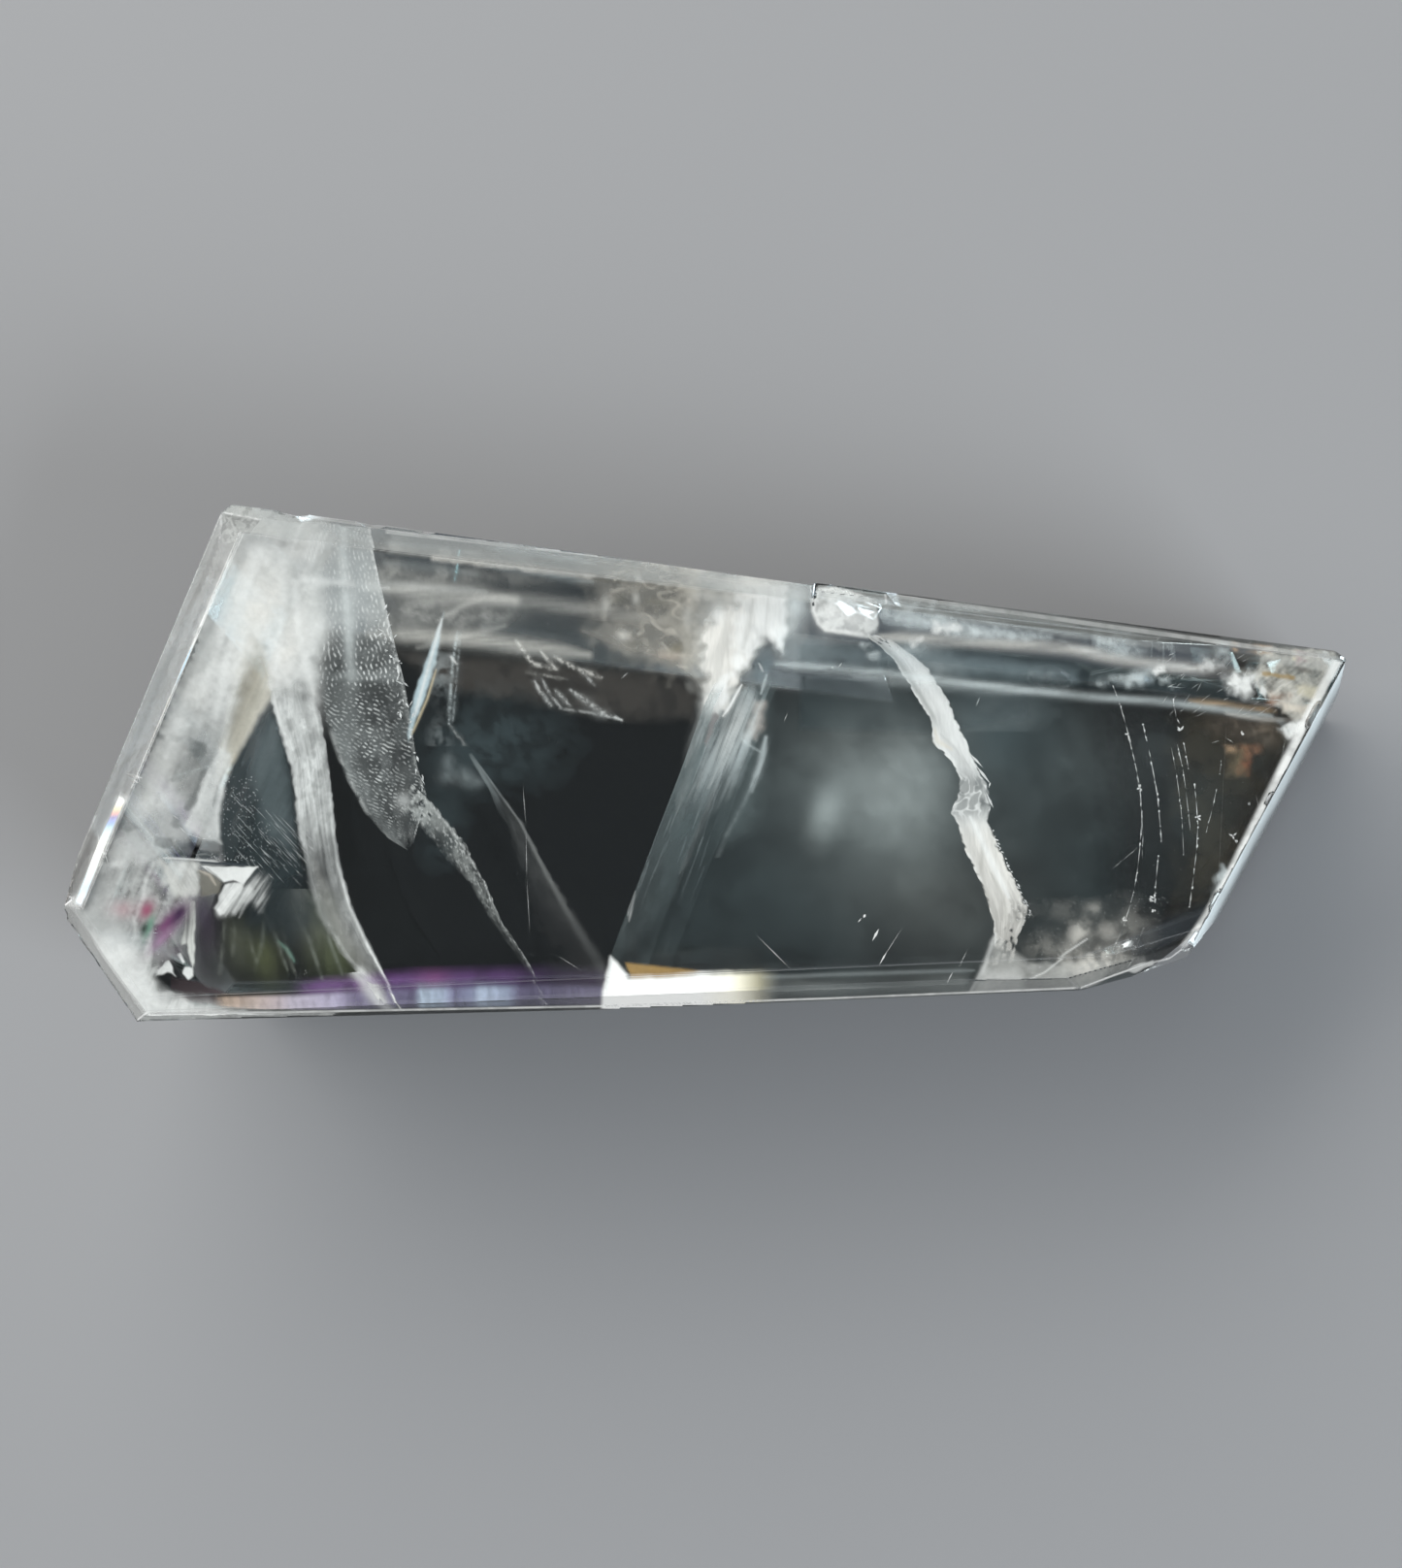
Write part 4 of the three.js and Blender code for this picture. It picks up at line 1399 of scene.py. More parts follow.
def fingerprint_beads():
    """Fluid beads along the right edge of the healed crack."""
    beads = Slivers("fingerprint_beads", seed=82)
    for edge_line in BEAD_ROWS:
        beads.dashes(edge_line, 0.17, dash=0.28, gap=0.3, stray=0.24)
    beads.dashes(BEAD_TOP_ROW, 0.1, dash=0.8, gap=0.3, stray=0.04)
    beads.build()


TAIL_RIGHT = [
    (424, 808, 4.0), (447, 828, 4.2), (465, 850, 4.4), (481, 871, 4.6), (491, 891, 4.8),
    (504, 916, 5), (520, 953, 5), (545, 991, 4.6), (567, 1036, 3),
]
TAIL_LEFT = [
    (412, 836, 5), (440, 862, 5.4), (461, 888, 5.8), (482, 912, 6), (495, 932, 6.2),
    (512, 958, 6.2), (536, 993, 6), (552, 1012, 5), (557, 1036, 4),
]


def fingerprint_tail():
    """Strip of beads that carries the healed crack on to the front wall."""
    sheet = Sheet("fingerprint_tail", TAIL_RIGHT, TAIL_LEFT, 0.08, seed=91)
    beads = ramp(sheet.noise(0.26, 0.2), 0.4, 1.6)
    low = ramp(sheet.along, 0.45, 0.7)
    sheet.lift(sheet.noise(5, 3) * 0.06)
    rim = peak(sheet.across, 0, 0.25)
    edge = sheet.fade(0.08, 0.03, 0.1, 0.45, 0.04, 0.5)
    sheet.area_of(
        edge, 0.10 + 0.26 * sheet.clouds(1.0) + 0.3 * (1 - ramp(sheet.along, 0.06, 0.2)),
        (0.66, 0.68, 0.67),
    )
    sheet.area_of(edge, beads * (0.35 + 0.4 * rim), WHITE)
    sheet.area_of(edge * peak(sheet.across, 0.14, 0.06), 0.45 * sheet.clouds(0.6), WHITE)
    sheet.shade(1 - 0.7 * low * ramp(sheet.across, 0.25, 0.55))
    sheet.build()


def healed_crack():
    fingerprint_veil()
    fingerprint_beads()
    fingerprint_tail()


# ---- middle --------------------------------------------------------------------------------------


CRACKS_BOX = box(400, 575, 730, 765)
SPEAR = [
    (457, 631), (453, 656), (449, 682), (441, 708), (431, 737), (420, 766), (422, 738), (429, 708),
    (441, 672),
]
SPEAR_LINE = [(455, 638), (441, 688), (427, 738)]
SPEAR_WARM_LINE = [(449, 690), (440, 720), (424, 757)]
CRACKS = [
    ([(471, 652), (466, 680), (464, 711), (462, 746)], 1.8, 0.65, COOL_WHITE),
    ([(474, 650), (470, 700), (466, 745)], 1.2, 0.35, COOL_WHITE),
    ([(463, 676), (470, 684)], 2.4, 0.9, WHITE),
    ([(471, 581), (468, 598)], 1.4, 0.9, (0.55, 0.88, 0.95)),
    ([(462, 746), (474, 762), (487, 782)], 1.4, 0.45, WHITE),
    ([(531, 660), (548, 684), (573, 690)], 2.4, 0.75, WARM_WHITE),
    ([(556, 671), (571, 688)], 2.2, 0.7, WARM_WHITE),
    ([(571, 677), (590, 688), (619, 698)], 2.6, 0.7, WARM_WHITE),
    ([(541, 693), (583, 700)], 1.8, 0.4, WARM_WHITE),
    ([(550, 702), (556, 713), (567, 727)], 2.2, 0.75, WHITE),
    ([(558, 700), (566, 716), (578, 730)], 1.8, 0.5, WHITE),
    ([(571, 711), (587, 728)], 2.2, 0.65, WHITE),
    ([(587, 711), (611, 728), (619, 734), (640, 742)], 2.6, 0.7, WHITE),
    ([(600, 694), (612, 706)], 2.0, 0.5, WHITE),
    ([(575, 730), (610, 735), (640, 742)], 1.6, 0.4, WHITE),
]
CRACKS_FOG = [
    (400, 668), (520, 676), (640, 690), (728, 700), (716, 742), (640, 744), (560, 728), (470, 714),
    (440, 700),
]


def middle_cracks():
    """Fine cracks between the healed crack and the cleavage plane."""
    crack = Patch("middle_cracks", CRACKS_BOX, (4.6, 5.6), 0.1, seed=101)
    crack.area(SPEAR, 2.5, 0.75, (0.70, 0.86, 0.94), 0.5)
    crack.line(SPEAR_LINE, 1.8, 0.7, WHITE)
    crack.glow(452, 690, 12, 22, 0.25 * crack.clouds(1.2), COOL_WHITE)
    crack.glow(452, 765, 10, 22, 0.14 * crack.clouds(1.2), COOL_WHITE)
    crack.line(SPEAR_WARM_LINE, 1.2, 0.6, (0.85, 0.72, 0.50))
    for points, width, strength, tint in CRACKS:
        crack.line(points, width * 0.9, strength * 0.6 * (0.2 + 1.0 * crack.clouds(0.6, 0.8)), tint)
        crack.line(points, width * 3, strength * 0.12 * crack.clouds(1), tint)
    crack.area(CRACKS_FOG, 12, 0.12 * (0.7 + 0.45 * crack.clouds(2.5)), (0.32, 0.28, 0.25), 1.0)
    crack.build()


FAINT_BOX = box(400, 680, 720, 900)
FAINT_SPOTS = [
    (470, 800, 14, 8, 0.22, COOL_WHITE), (488, 806, 9, 6, 0.16, COOL_WHITE),
    (462, 786, 7, 10, 0.12, COOL_WHITE), (505, 765, 70, 44, 0.07, TEAL),
    (452, 850, 26, 40, 0.05, TEAL),
]


def faint_haze():
    """Hardly visible teal haze in the dark part of the block."""
    haze = Patch("faint_haze", FAINT_BOX, (8, 9), 0.3, seed=105)
    for x, y, half_x, half_y, strength, tint in FAINT_SPOTS:
        haze.glow(x, y, half_x, half_y, strength * (0.4 + 0.8 * haze.clouds(1.5)), tint)
    haze.build("mist_veil")


LONG_RIGHT = [
    (486, 776, 5), (518, 819, 5), (541, 848, 5), (558, 880, 5), (570, 901, 5), (584, 923, 5),
    (606, 958, 5), (630, 992, 4.5), (642, 1036, 3.5),
]
LONG_LEFT = [
    (483, 778, 5.2), (505, 815, 6), (519, 850, 6.6), (528, 885, 7), (532, 915, 7.2),
    (534, 950, 7.2), (545, 1000, 7), (560, 1036, 5),
]


def long_fracture():
    """The faint fracture that widens on its way to the front wall."""
    sheet = Sheet("long_fracture", LONG_RIGHT, LONG_LEFT, 0.13, seed=111)
    sheet.lift(sheet.noise(8, 3) * 0.08)
    low = ramp(sheet.along, 0.35, 0.85)
    smoke = 0.45 + 0.3 * sheet.fibres(12, 2.2) + 0.35 * sheet.clouds(1.6)
    edge = sheet.fade(0.3, 0.0, 0.10, 0.7, 0.03, 1)
    foot = ramp(sheet.along, 0.78, 0.95)
    sheet.area_of(edge, (0.07 - 0.055 * low + 0.05 * foot) * smoke, blend(WHITE, (0.62, 0.57, 0.58), low))
    sheet.area_of(edge * peak(sheet.across, 0.14, 0.07), 0.16 * (1 - 0.7 * low), WHITE)
    sheet.glow(499, 802, 10, 30, 0.22 * smoke, COOL_WHITE, -0.6)
    sheet.build()


CLEAVAGE_TOP = [
    (737, 704, 0.5), (725, 728, 0.5), (700, 798, 0.5), (676, 860, 0.5), (631, 985, 0.5),
    (619, 1044, 0.5),
]
CLEAVAGE_FOOT = [
    (809, 690, 15), (797, 716, 15), (772, 785, 15), (742, 865, 15), (697, 985, 15), (680, 1044, 15)
]
CLEAVAGE_STREAKS = [
    ([(762, 714), (746, 739)], 2.2, 0.9), ([(756, 766), (750, 776)], 2.2, 0.8),
    ([(749, 780), (736, 800), (730, 812)], 2.4, 0.6), ([(735, 770), (718, 812)], 2.5, 0.35),
    ([(722, 742), (706, 790)], 2.2, 0.35), ([(771, 808), (757, 842), (746, 868)], 3.2, 0.6),
    ([(746, 868), (730, 908), (718, 937)], 1.8, 0.7),
    ([(788, 780), (782, 800), (770, 832)], 2.4, 0.35),
    ([(742, 800), (722, 850), (700, 900)], 3.0, 0.2),
    ([(655, 919), (652, 935), (649, 950)], 1.3, 0.7), ([(651, 925), (648, 944)], 1.0, 0.6),
]


def cleavage_plane():
    """Cleavage crack down through the block, parallel to the end walls, with streaks along it."""
    sheet = Sheet("cleavage_plane", CLEAVAGE_TOP, CLEAVAGE_FOOT, 0.12, seed=121)
    sheet.lift(sheet.noise(12, 6) * 0.05)
    upper = 1 - ramp(sheet.along, 0.1, 0.8)
    sheet.area_of(
        sheet.fade(0.05, 0, 0, 0),
        (0.15 + 0.10 * sheet.clouds(5) + 0.26 * upper) * (1 - 0.7 * ramp(sheet.across, 0.56, 0.62)),
        (0.52, 0.64, 0.66),
    )
    sheet.area_of(1 - ramp(sheet.across, 0.0, 0.035), 0.3 * upper, COOL_WHITE)
    streaks = ramp(sheet.noise(5, 0.9) + 0.4 * sheet.noise(2, 0.4), 0.7, 2.6)
    sheet.area_of(sheet.fade(0.08, 0.1, 0.02, 0.1), streaks * (0.08 + 0.5 * upper), COOL_WHITE)
    for points, width, strength in CLEAVAGE_STREAKS:
        sheet.line(points, width, strength * (0.5 + 0.7 * sheet.fibres(2, 0.3)), WHITE)
    sheet.build()


STEPS_BOX = box(700, 660, 850, 880)
STEPS_SHEEN = [
    (772, 700), (796, 700), (792, 725), (789, 776), (782, 840), (768, 860), (745, 870), (755, 810)
]
STEPS_PEACH = [(777, 722), (789, 723), (787, 750), (778, 762), (766, 760), (774, 738)]
STEPS_WHITE = [(764, 756), (776, 752), (774, 768), (765, 766)]
STEPS_HOOK = [(764, 761), (771, 768), (784, 775)]
STEPS_LONG_LINE = [(783, 788), (770, 820), (748, 862), (722, 930)]
STEPS_DARK = [(772, 668), (796, 664), (800, 684), (786, 704), (774, 702)]
STEPS_RIGHT_LINE = [(790, 695), (784, 715)]
STEPS_TOP_LINE = [(782, 684), (786, 692)]
STEPS_SILK = [
    (745, 712), (772, 706), (786, 722), (776, 772), (756, 818), (736, 850), (712, 852), (699, 852),
    (703, 830), (716, 790), (731, 745),
]
STEPS_SILK_LINE = [(789, 760), (784, 788), (774, 815)]
STEPS_SILK_SPOTS = [
    (758, 741, 11, 24, 0.5), (747, 766, 9, 24, 0.32), (724, 752, 8, 26, 0.3),
    (706, 816, 8, 30, 0.12),
]


def cleavage_steps():
    """Small steps beside the top of the cleavage plane."""
    steps = Patch("cleavage_steps", STEPS_BOX, (4.0, 5.5), 0.12, seed=131)
    steps.area(STEPS_SHEEN, 30, 0.14, (0.48, 0.60, 0.62), 1)
    steps.area(STEPS_PEACH, 8, 0.6, (0.70, 0.62, 0.58), 0.8)
    steps.area(STEPS_WHITE, 5, 0.4, WHITE, 1)
    steps.line(STEPS_HOOK, 1.6, 0.22, COOL_WHITE)
    steps.line(STEPS_LONG_LINE, 2.4, 0.08 * (0.4 + steps.clouds(2)), COOL_WHITE)
    steps.area(STEPS_DARK, 8, 0.4, (0.26, 0.34, 0.38), 1)
    steps.line(STEPS_RIGHT_LINE, 2.2, 0.5, COOL_WHITE)
    steps.line(STEPS_TOP_LINE, 1.5, 0.7, WHITE)
    silk = 0.35 + 0.8 * steps.fibres(6, 0.45, LEAN)
    steps.area(STEPS_SILK, 10, 0.4 * silk * (1 - ramp(steps.y, 765, 850)), COOL_WHITE, 1)
    steps.glow(736, 723, 9, 16, 0.7, WHITE, 0.35)
    steps.line(STEPS_SILK_LINE, 4, 0.4 * silk, COOL_WHITE)
    for x, y, half_x, half_y, strength in STEPS_SILK_SPOTS:
        steps.glow(x, y, half_x, half_y, strength * silk, WHITE, 0.35)
    steps.build()


def middle():
    middle_cracks()
    faint_haze()
    long_fracture()
    cleavage_plane()
    cleavage_steps()


# ---- back wall -----------------------------------------------------------------------------------


DEEP_BOX = box(590, 570, 850, 780)
DEEP_FOG = [(596, 578), (730, 590), (730, 700), (684, 690), (650, 690), (606, 660)]
DEEP_SPOTS = [
    (624, 622, 5, 9, 0.45, WARM_WHITE), (655, 617, 4, 6, 0.45, WARM_WHITE),
    (708, 636, 5, 11, 0.5, WARM_WHITE), (642, 655, 7, 6, 0.45, WARM_WHITE),
    (690, 676, 14, 5, 0.4, (0.86, 0.70, 0.58)), (652, 663, 9, 5, 0.6, (0.20, 0.19, 0.17)),
    (698, 668, 8, 5, 0.65, (0.22, 0.19, 0.13)), (638, 618, 8, 5, 0.5, (0.26, 0.25, 0.22)),
    (676, 620, 12, 4, 0.4, (0.32, 0.30, 0.25)),
]
DEEP_BODY = [
    (714, 592), (800, 600), (822, 606), (826, 650), (806, 676), (786, 660), (770, 700), (748, 736),
    (728, 735), (716, 700), (708, 650),
]


def back_fracture_deep():
    """Mottled haze behind the bright fracture and to its left."""
    deep = Patch("back_fracture_deep", DEEP_BOX, (5.0, 6.0), 0.16, seed=141)
    deep.lift(deep.noise(2.5, 2.5) * 0.15)
    cells = ramp(np.abs(deep.noise(1.2, 1.8)), 0.7, 0.0) * deep.clouds(2) * ramp(deep.x, 605, 640)
    right = ramp(deep.x, 600, 715)
    deep.area(DEEP_FOG, 18, (0.16 + 0.34 * right) * (0.6 + 0.5 * deep.clouds(2)), (0.80, 0.74, 0.66), 4)
    deep.area(DEEP_FOG, 16, cells * 0.42, (0.88, 0.81, 0.73), 3)
    for x, y, half_x, half_y, strength, tint in DEEP_SPOTS:
        deep.glow(x, y, half_x, half_y, strength, tint)
    deep.area(DEEP_BODY, 26, 0.62, (0.90, 0.88, 0.84), 3)
    deep.shade(1 - 0.5 * ramp(deep.y, 668, 684) * (1 - ramp(deep.x, 685, 708)))
    deep.build()


CRUMPLE_BOX = box(700, 595, 835, 780)
CRUMPLE_BODY = [
    (723, 655), (736, 628), (762, 622), (782, 634), (774, 663), (768, 686), (762, 698), (750, 733),
    (737, 734), (727, 716), (721, 683),
]
CRUMPLE_CORE = [
    (757, 664), (768, 662), (767, 690), (756, 700), (746, 729), (736, 728), (737, 704), (750, 694)
]
CRUMPLE_RIGHT = [
    (770, 606), (812, 611), (813, 650), (807, 674), (800, 668), (792, 657), (780, 646), (776, 632)
]
CRUMPLE_TOP = [(758, 612), (790, 606), (796, 640), (786, 664), (770, 684), (754, 664)]
CRUMPLE_FOLD = [(776, 618), (772, 645), (766, 668)]
CRUMPLE_RIGHT_FOLD = [(792, 612), (790, 640), (786, 660)]
CRUMPLE_FOOT_LINE = [(764, 706), (752, 728), (745, 738)]
CRUMPLE_FOOT_SHADE = [(736, 731), (741, 738), (736, 752), (728, 768), (726, 764), (731, 746)]


def back_fracture():
    """The bright crumpled fracture against the back wall."""
    bright = Patch("back_fracture", CRUMPLE_BOX, (2.6, 3.4), 0.1, seed=142)
    bright.lift(bright.noise(2, 2) * 0.1)
    silk = 0.8 + 0.3 * bright.fibres(4, 1.0, 0.15)
    bright.area(CRUMPLE_BODY, 9, 0.72 * silk, WARM_WHITE, 3)
    bright.area(CRUMPLE_CORE, 6, 0.85, WHITE, 2)
    bright.area(CRUMPLE_RIGHT, 7, 1.0, WHITE, 1)
    bright.area(CRUMPLE_TOP, 9, 0.75, WHITE, 2)
    bright.glow(772, 607, 20, 10, 0.75, WARM_WHITE)
    bright.glow(822, 622, 14, 17, 0.6, COOL_WHITE)
    bright.glow(737, 723, 9, 14, 0.8, WHITE, 0.35)
    bright.glow(740, 634, 7, 9, 0.6, WHITE)
    bright.glow(819, 625, 7, 9, 0.6, COOL_WHITE)
    bright.glow(815, 645, 10, 12, 0.35, COOL_WHITE)
    # Painted shade along the folds, and at the foot below.
    bright.glow(748, 656, 4, 12, 0.45, (0.52, 0.52, 0.50))
    bright.line(CRUMPLE_FOLD, 4, 0.5, (0.50, 0.50, 0.48))
    bright.line(CRUMPLE_RIGHT_FOLD, 2, 0.3, (0.60, 0.61, 0.60))
    bright.line(CRUMPLE_FOOT_LINE, 1.6, 0.9, WHITE)
    bright.area(CRUMPLE_FOOT_SHADE, 2.5, 0.85, (0.16, 0.15, 0.15), 0.7)
    # The self-lit finish adds a painted white glow.
    bright.build("self_lit_silky_veil")


LEFT_BANDS_BOX = box(380, 550, 730, 704)
LEFT_BANDS_PAINTED_DARK = [(384, 566), (600, 590), (720, 600), (720, 690), (640, 694), (384, 668)]
LEFT_BANDS = [
    ([(380, 605), (440, 609), (490, 614), (530, 619)], 10, 0.62, WARM_WHITE),
    ([(490, 614), (560, 621), (620, 630), (680, 640)], 8, 0.3, WARM_WHITE),
    ([(392, 600), (450, 606), (500, 610)], 4, 0.25, WHITE),
    ([(380, 652), (440, 655), (500, 660), (550, 667), (606, 675)], 8, 0.55, (0.86, 0.82, 0.77)),
    ([(600, 650), (650, 668), (722, 684)], 6, 0.1, (0.86, 0.78, 0.70)),
    ([(430, 668), (480, 655), (520, 645)], 4, 0.25, WARM_WHITE),
    ([(450, 640), (475, 625), (495, 618)], 3, 0.3, WARM_WHITE),
    ([(500, 582), (560, 590), (610, 600)], 5, 0.18, COOL_WHITE),
    ([(396, 580), (450, 586), (490, 592)], 6, 0.12, COOL_WHITE),
]
LEFT_BANDS_SPOTS = [
    (412, 638, 34, 17, 0.42), (470, 638, 38, 13, 0.24), (505, 633, 26, 10, 0.2),
    (398, 592, 22, 14, 0.34), (450, 593, 44, 10, 0.24), (520, 597, 50, 8, 0.12),
    (446, 622, 30, 8, 0.2),
]


def left_reflection_bands():
    """Painted reflections: soft bands of light along the back wall, left of the ledge, over painted dark.
    """
    band = Patch("left_reflection_bands", LEFT_BANDS_BOX, (6.0, 6.4), 0.2, seed=161)
    band.area(LEFT_BANDS_PAINTED_DARK, 12, 0.7, (0.025, 0.03, 0.03), 0.5)
    for points, width, strength, tint in LEFT_BANDS:
        band.line(points, width, strength * (0.7 + 0.35 * band.fibres(16, 0.8, 1.48)), tint)
    band.spots(LEFT_BANDS_SPOTS, 0.45, 0.8, 1.6, WARM_WHITE)
    band.build()


RIGHT_SHADE_BOX = box(800, 640, 1310, 770)
RIGHT_SHADES = [
    (
        [
            (822, 662), (900, 662), (1000, 667), (1100, 677), (1180, 690), (1262, 700), (1292, 716),
            (1290, 730), (1180, 716), (1060, 707), (940, 700), (822, 692),
        ],
        0.7,
    ),
    ([(822, 694), (940, 702), (1060, 709), (1060, 740), (960, 758), (822, 752)], 0.72),
]


def right_shade():
    """Painted shade between the reflected bands of the right half."""
    shade = Patch("right_shade", RIGHT_SHADE_BOX, (8.5, 9.0), 0.2, seed=162)
    for outline, strength in RIGHT_SHADES:
        shade.area(outline, 7, strength, (0.022, 0.034, 0.038), 0.5)
    shade.build("mist_veil")


RIGHT_BANDS_BOX = box(795, 640, 1356, 750)
RIGHT_BANDS = [
    (
        [(905, 656), (1000, 661), (1100, 668), (1165, 682), (1207, 687), (1268, 692)], 6, 0.55,
        WARM_WHITE,
    ),
    ([(1100, 666), (1170, 682), (1230, 689)], 3.5, 0.4, WHITE),
    ([(1268, 691), (1300, 695), (1345, 697)], 3, 0.35, (0.85, 0.75, 0.45)),
    (
        [(800, 684), (900, 692), (1010, 706), (1100, 716), (1207, 724), (1268, 732), (1310, 738)],
        4, 0.42, COOL_WHITE,
    ),
    ([(880, 698), (960, 706), (1060, 713)], 6, 0.16, COOL_WHITE),
    ([(1225, 722), (1270, 727), (1315, 733)], 3, 0.4, (0.72, 0.50, 0.30)),
    ([(1262, 735), (1300, 741), (1330, 742)], 2.5, 0.4, WARM_WHITE),
]
TEAL_BAND = [
    (800, 650), (905, 660), (1000, 672), (1110, 688), (1110, 704), (1000, 698), (905, 690),
    (800, 684),
]
RIGHT_BANDS_SPOTS = [
    (942, 668, 24, 9, 0.32), (966, 689, 22, 8, 0.18), (1030, 735, 46, 26, 0.05),
    (826, 670, 28, 12, 0.1),
]


def right_reflection_bands():
    """Painted reflections: soft bands of light along the back wall, right of the ledge."""
    band = Patch("right_reflection_bands", RIGHT_BANDS_BOX, (3.0, 3.4), 0.2, seed=163)
    for points, width, strength, tint in RIGHT_BANDS:
        band.line(points, width, strength * (0.7 + 0.4 * band.fibres(14, 0.8, 1.44)), tint)
    band.area(TEAL_BAND, 12, 0.17 * (0.8 + 0.3 * band.clouds(3)), (0.62, 0.77, 0.84), 1)
    band.spots(RIGHT_BANDS_SPOTS, 0.7, 0.5, 2, COOL_WHITE)
    band.build()


LEDGE = [
    (844, 604), (862, 603), (884, 610), (903, 618), (905, 645), (904, 661), (890, 657), (850, 651),
    (842, 644), (836, 630), (836, 618),
]
LEDGE_BOX = box(830, 598, 1120, 690)
LEDGE_SPOTS = [
    (930, 640, 20, 9, 0.34), (962, 640, 20, 9, 0.55), (1000, 650, 24, 8, 0.6),
    (1040, 657, 24, 5, 0.25),
]
LEDGE_PATCHES = [
    ([(960, 640), (984, 641), (990, 648), (978, 655), (962, 652)], 0.95, WHITE),
    ([(935, 655), (947, 656), (950, 662), (940, 666), (934, 661)], 0.9, WHITE),
    ([(888, 664), (896, 670), (910, 672), (898, 680), (891, 676)], 0.6, COOL_WHITE),
    ([(905, 612), (980, 621), (1040, 629), (1040, 634), (975, 630), (900, 624)], 0.5, COOL_WHITE),
    ([(905, 624), (950, 632), (945, 642), (905, 636)], 0.35, COOL_WHITE),
    ([(990, 640), (1080, 652), (1100, 662), (1000, 655)], 0.35, COOL_WHITE),
]


def ledge_frost():
    """White frost on the broken ledge, with the bright spots beside it."""
    frost = Patch("ledge_frost", LEDGE_BOX, (0.6, 0.6), 0.11, seed=181)
    frost.tuck(0.2)
    frost.area(
        LEDGE, 3, (0.30 + 0.55 * frost.clouds(1.2)) * (1 - 0.25 * ramp(frost.x, 872, 902)),
        (0.90, 0.92, 0.92), 0.8,
    )
    frost.glow(853, 632, 12, 18, 0.5, WHITE)
    rim = peak(polygon_distance(frost.x, frost.y, LEDGE), 2.5, 2.5)
    frost.area_of(rim * (1 - ramp(frost.x, 880, 900)), 0.7, WHITE)
    frost.glow(868, 630, 14, 10, 0.45 * frost.clouds(1), WHITE)
    frost.glow(894, 640, 8, 12, 0.3 * frost.clouds(1), WHITE)
    frost.glow(880, 638, 13, 12, 0.55, WHITE)
    frost.spots(LEDGE_SPOTS, 0.6, 0.5, 1.5, COOL_WHITE, 0.13)
    for outline, strength, tint in LEDGE_PATCHES:
        frost.area(outline, 6, strength * (0.6 + 0.5 * frost.clouds(1)), tint, 1.5)
    frost.build()


def back_wall():
    left_reflection_bands()
    right_shade()
    right_reflection_bands()
    back_fracture_deep()
    back_fracture()
    ledge_frost()


# ---- right half ----------------------------------------------------------------------------------


CLEAR_HALF = [(735, 690), (1330, 750), (1250, 930), (1110, 1000), (640, 1010)]
CLOUD_SPOTS = [
    (925, 803, 56, 74, 0.15, 0.3), (895, 800, 110, 88, 0.05, 0.2), (847, 840, 15, 27, 0.14, 0.3),
    (852, 775, 26, 24, 0.04, 0), (1120, 780, 90, 70, 0.02, 0),
]


def soft_clouds():
    """Faint milky clouds in the clear right half."""
    for number, depth in enumerate((6, 11, 16)):
        cloud = Patch(f"cloud_{number + 1}", CLEAR_HALF, (depth, depth + 1.5), 0.5, seed=191 + number)
        cloud.lift(cloud.noise(9, 9) * 0.4)
        mist = 0.55 + 0.5 * cloud.clouds(6, 0.6)
        cloud.area(CLEAR_HALF, 60, 0.022 * mist, (0.45, 0.62, 0.66), 3)
        for x, y, half_x, half_y, strength, turn in CLOUD_SPOTS:
            cloud.glow(x, y, half_x, half_y, strength * mist, (0.80, 0.86, 0.86), turn)
        cloud.glow(970, 930, 90, 60, 0.04 * mist, (0.56, 0.52, 0.48))
        cloud.glow(1025, 745, 55, 55, 0.05 * mist, (0.45, 0.66, 0.74))
        cloud.build("mist_veil")


RIBBON_LEFT = [
    (891, 655, 3), (905, 665, 3.2), (920, 680, 3.5), (935, 705, 4), (946, 723, 4), (956, 738, 4.2),
    (961, 752, 4.4), (959, 764, 4.4), (968, 773, 4.5), (981, 786, 4.6), (989, 803, 4.8),
    (986, 821, 4.8), (979, 838, 4.8), (988, 854, 4.8), (991, 869, 4.6), (998, 885, 4.4),
    (1006, 900, 4.2), (1013, 915, 4), (1018, 929, 3.6), (1023, 949, 3), (1025, 970, 2.4),
    (1022, 992, 1.9),
]
RIBBON_RIGHT = [
    (912, 654, 3.1), (928, 666, 3.6), (945, 678, 4.1), (957, 689, 4.4), (966, 705, 4.7),
    (978, 723, 5), (986, 743, 5.1), (996, 763, 5.3), (1001, 778, 5.5), (1010, 795, 5.5),
    (1019, 812, 5.5), (1021, 832, 5.5), (1018, 845, 5.5), (1024, 860, 5.3), (1034, 884, 5),
    (1041, 897, 4.7), (1049, 913, 4.4), (1060, 932, 3.9), (1058, 948, 3.1), (1050, 964, 2.3),
    (1044, 992, 1.7),
]
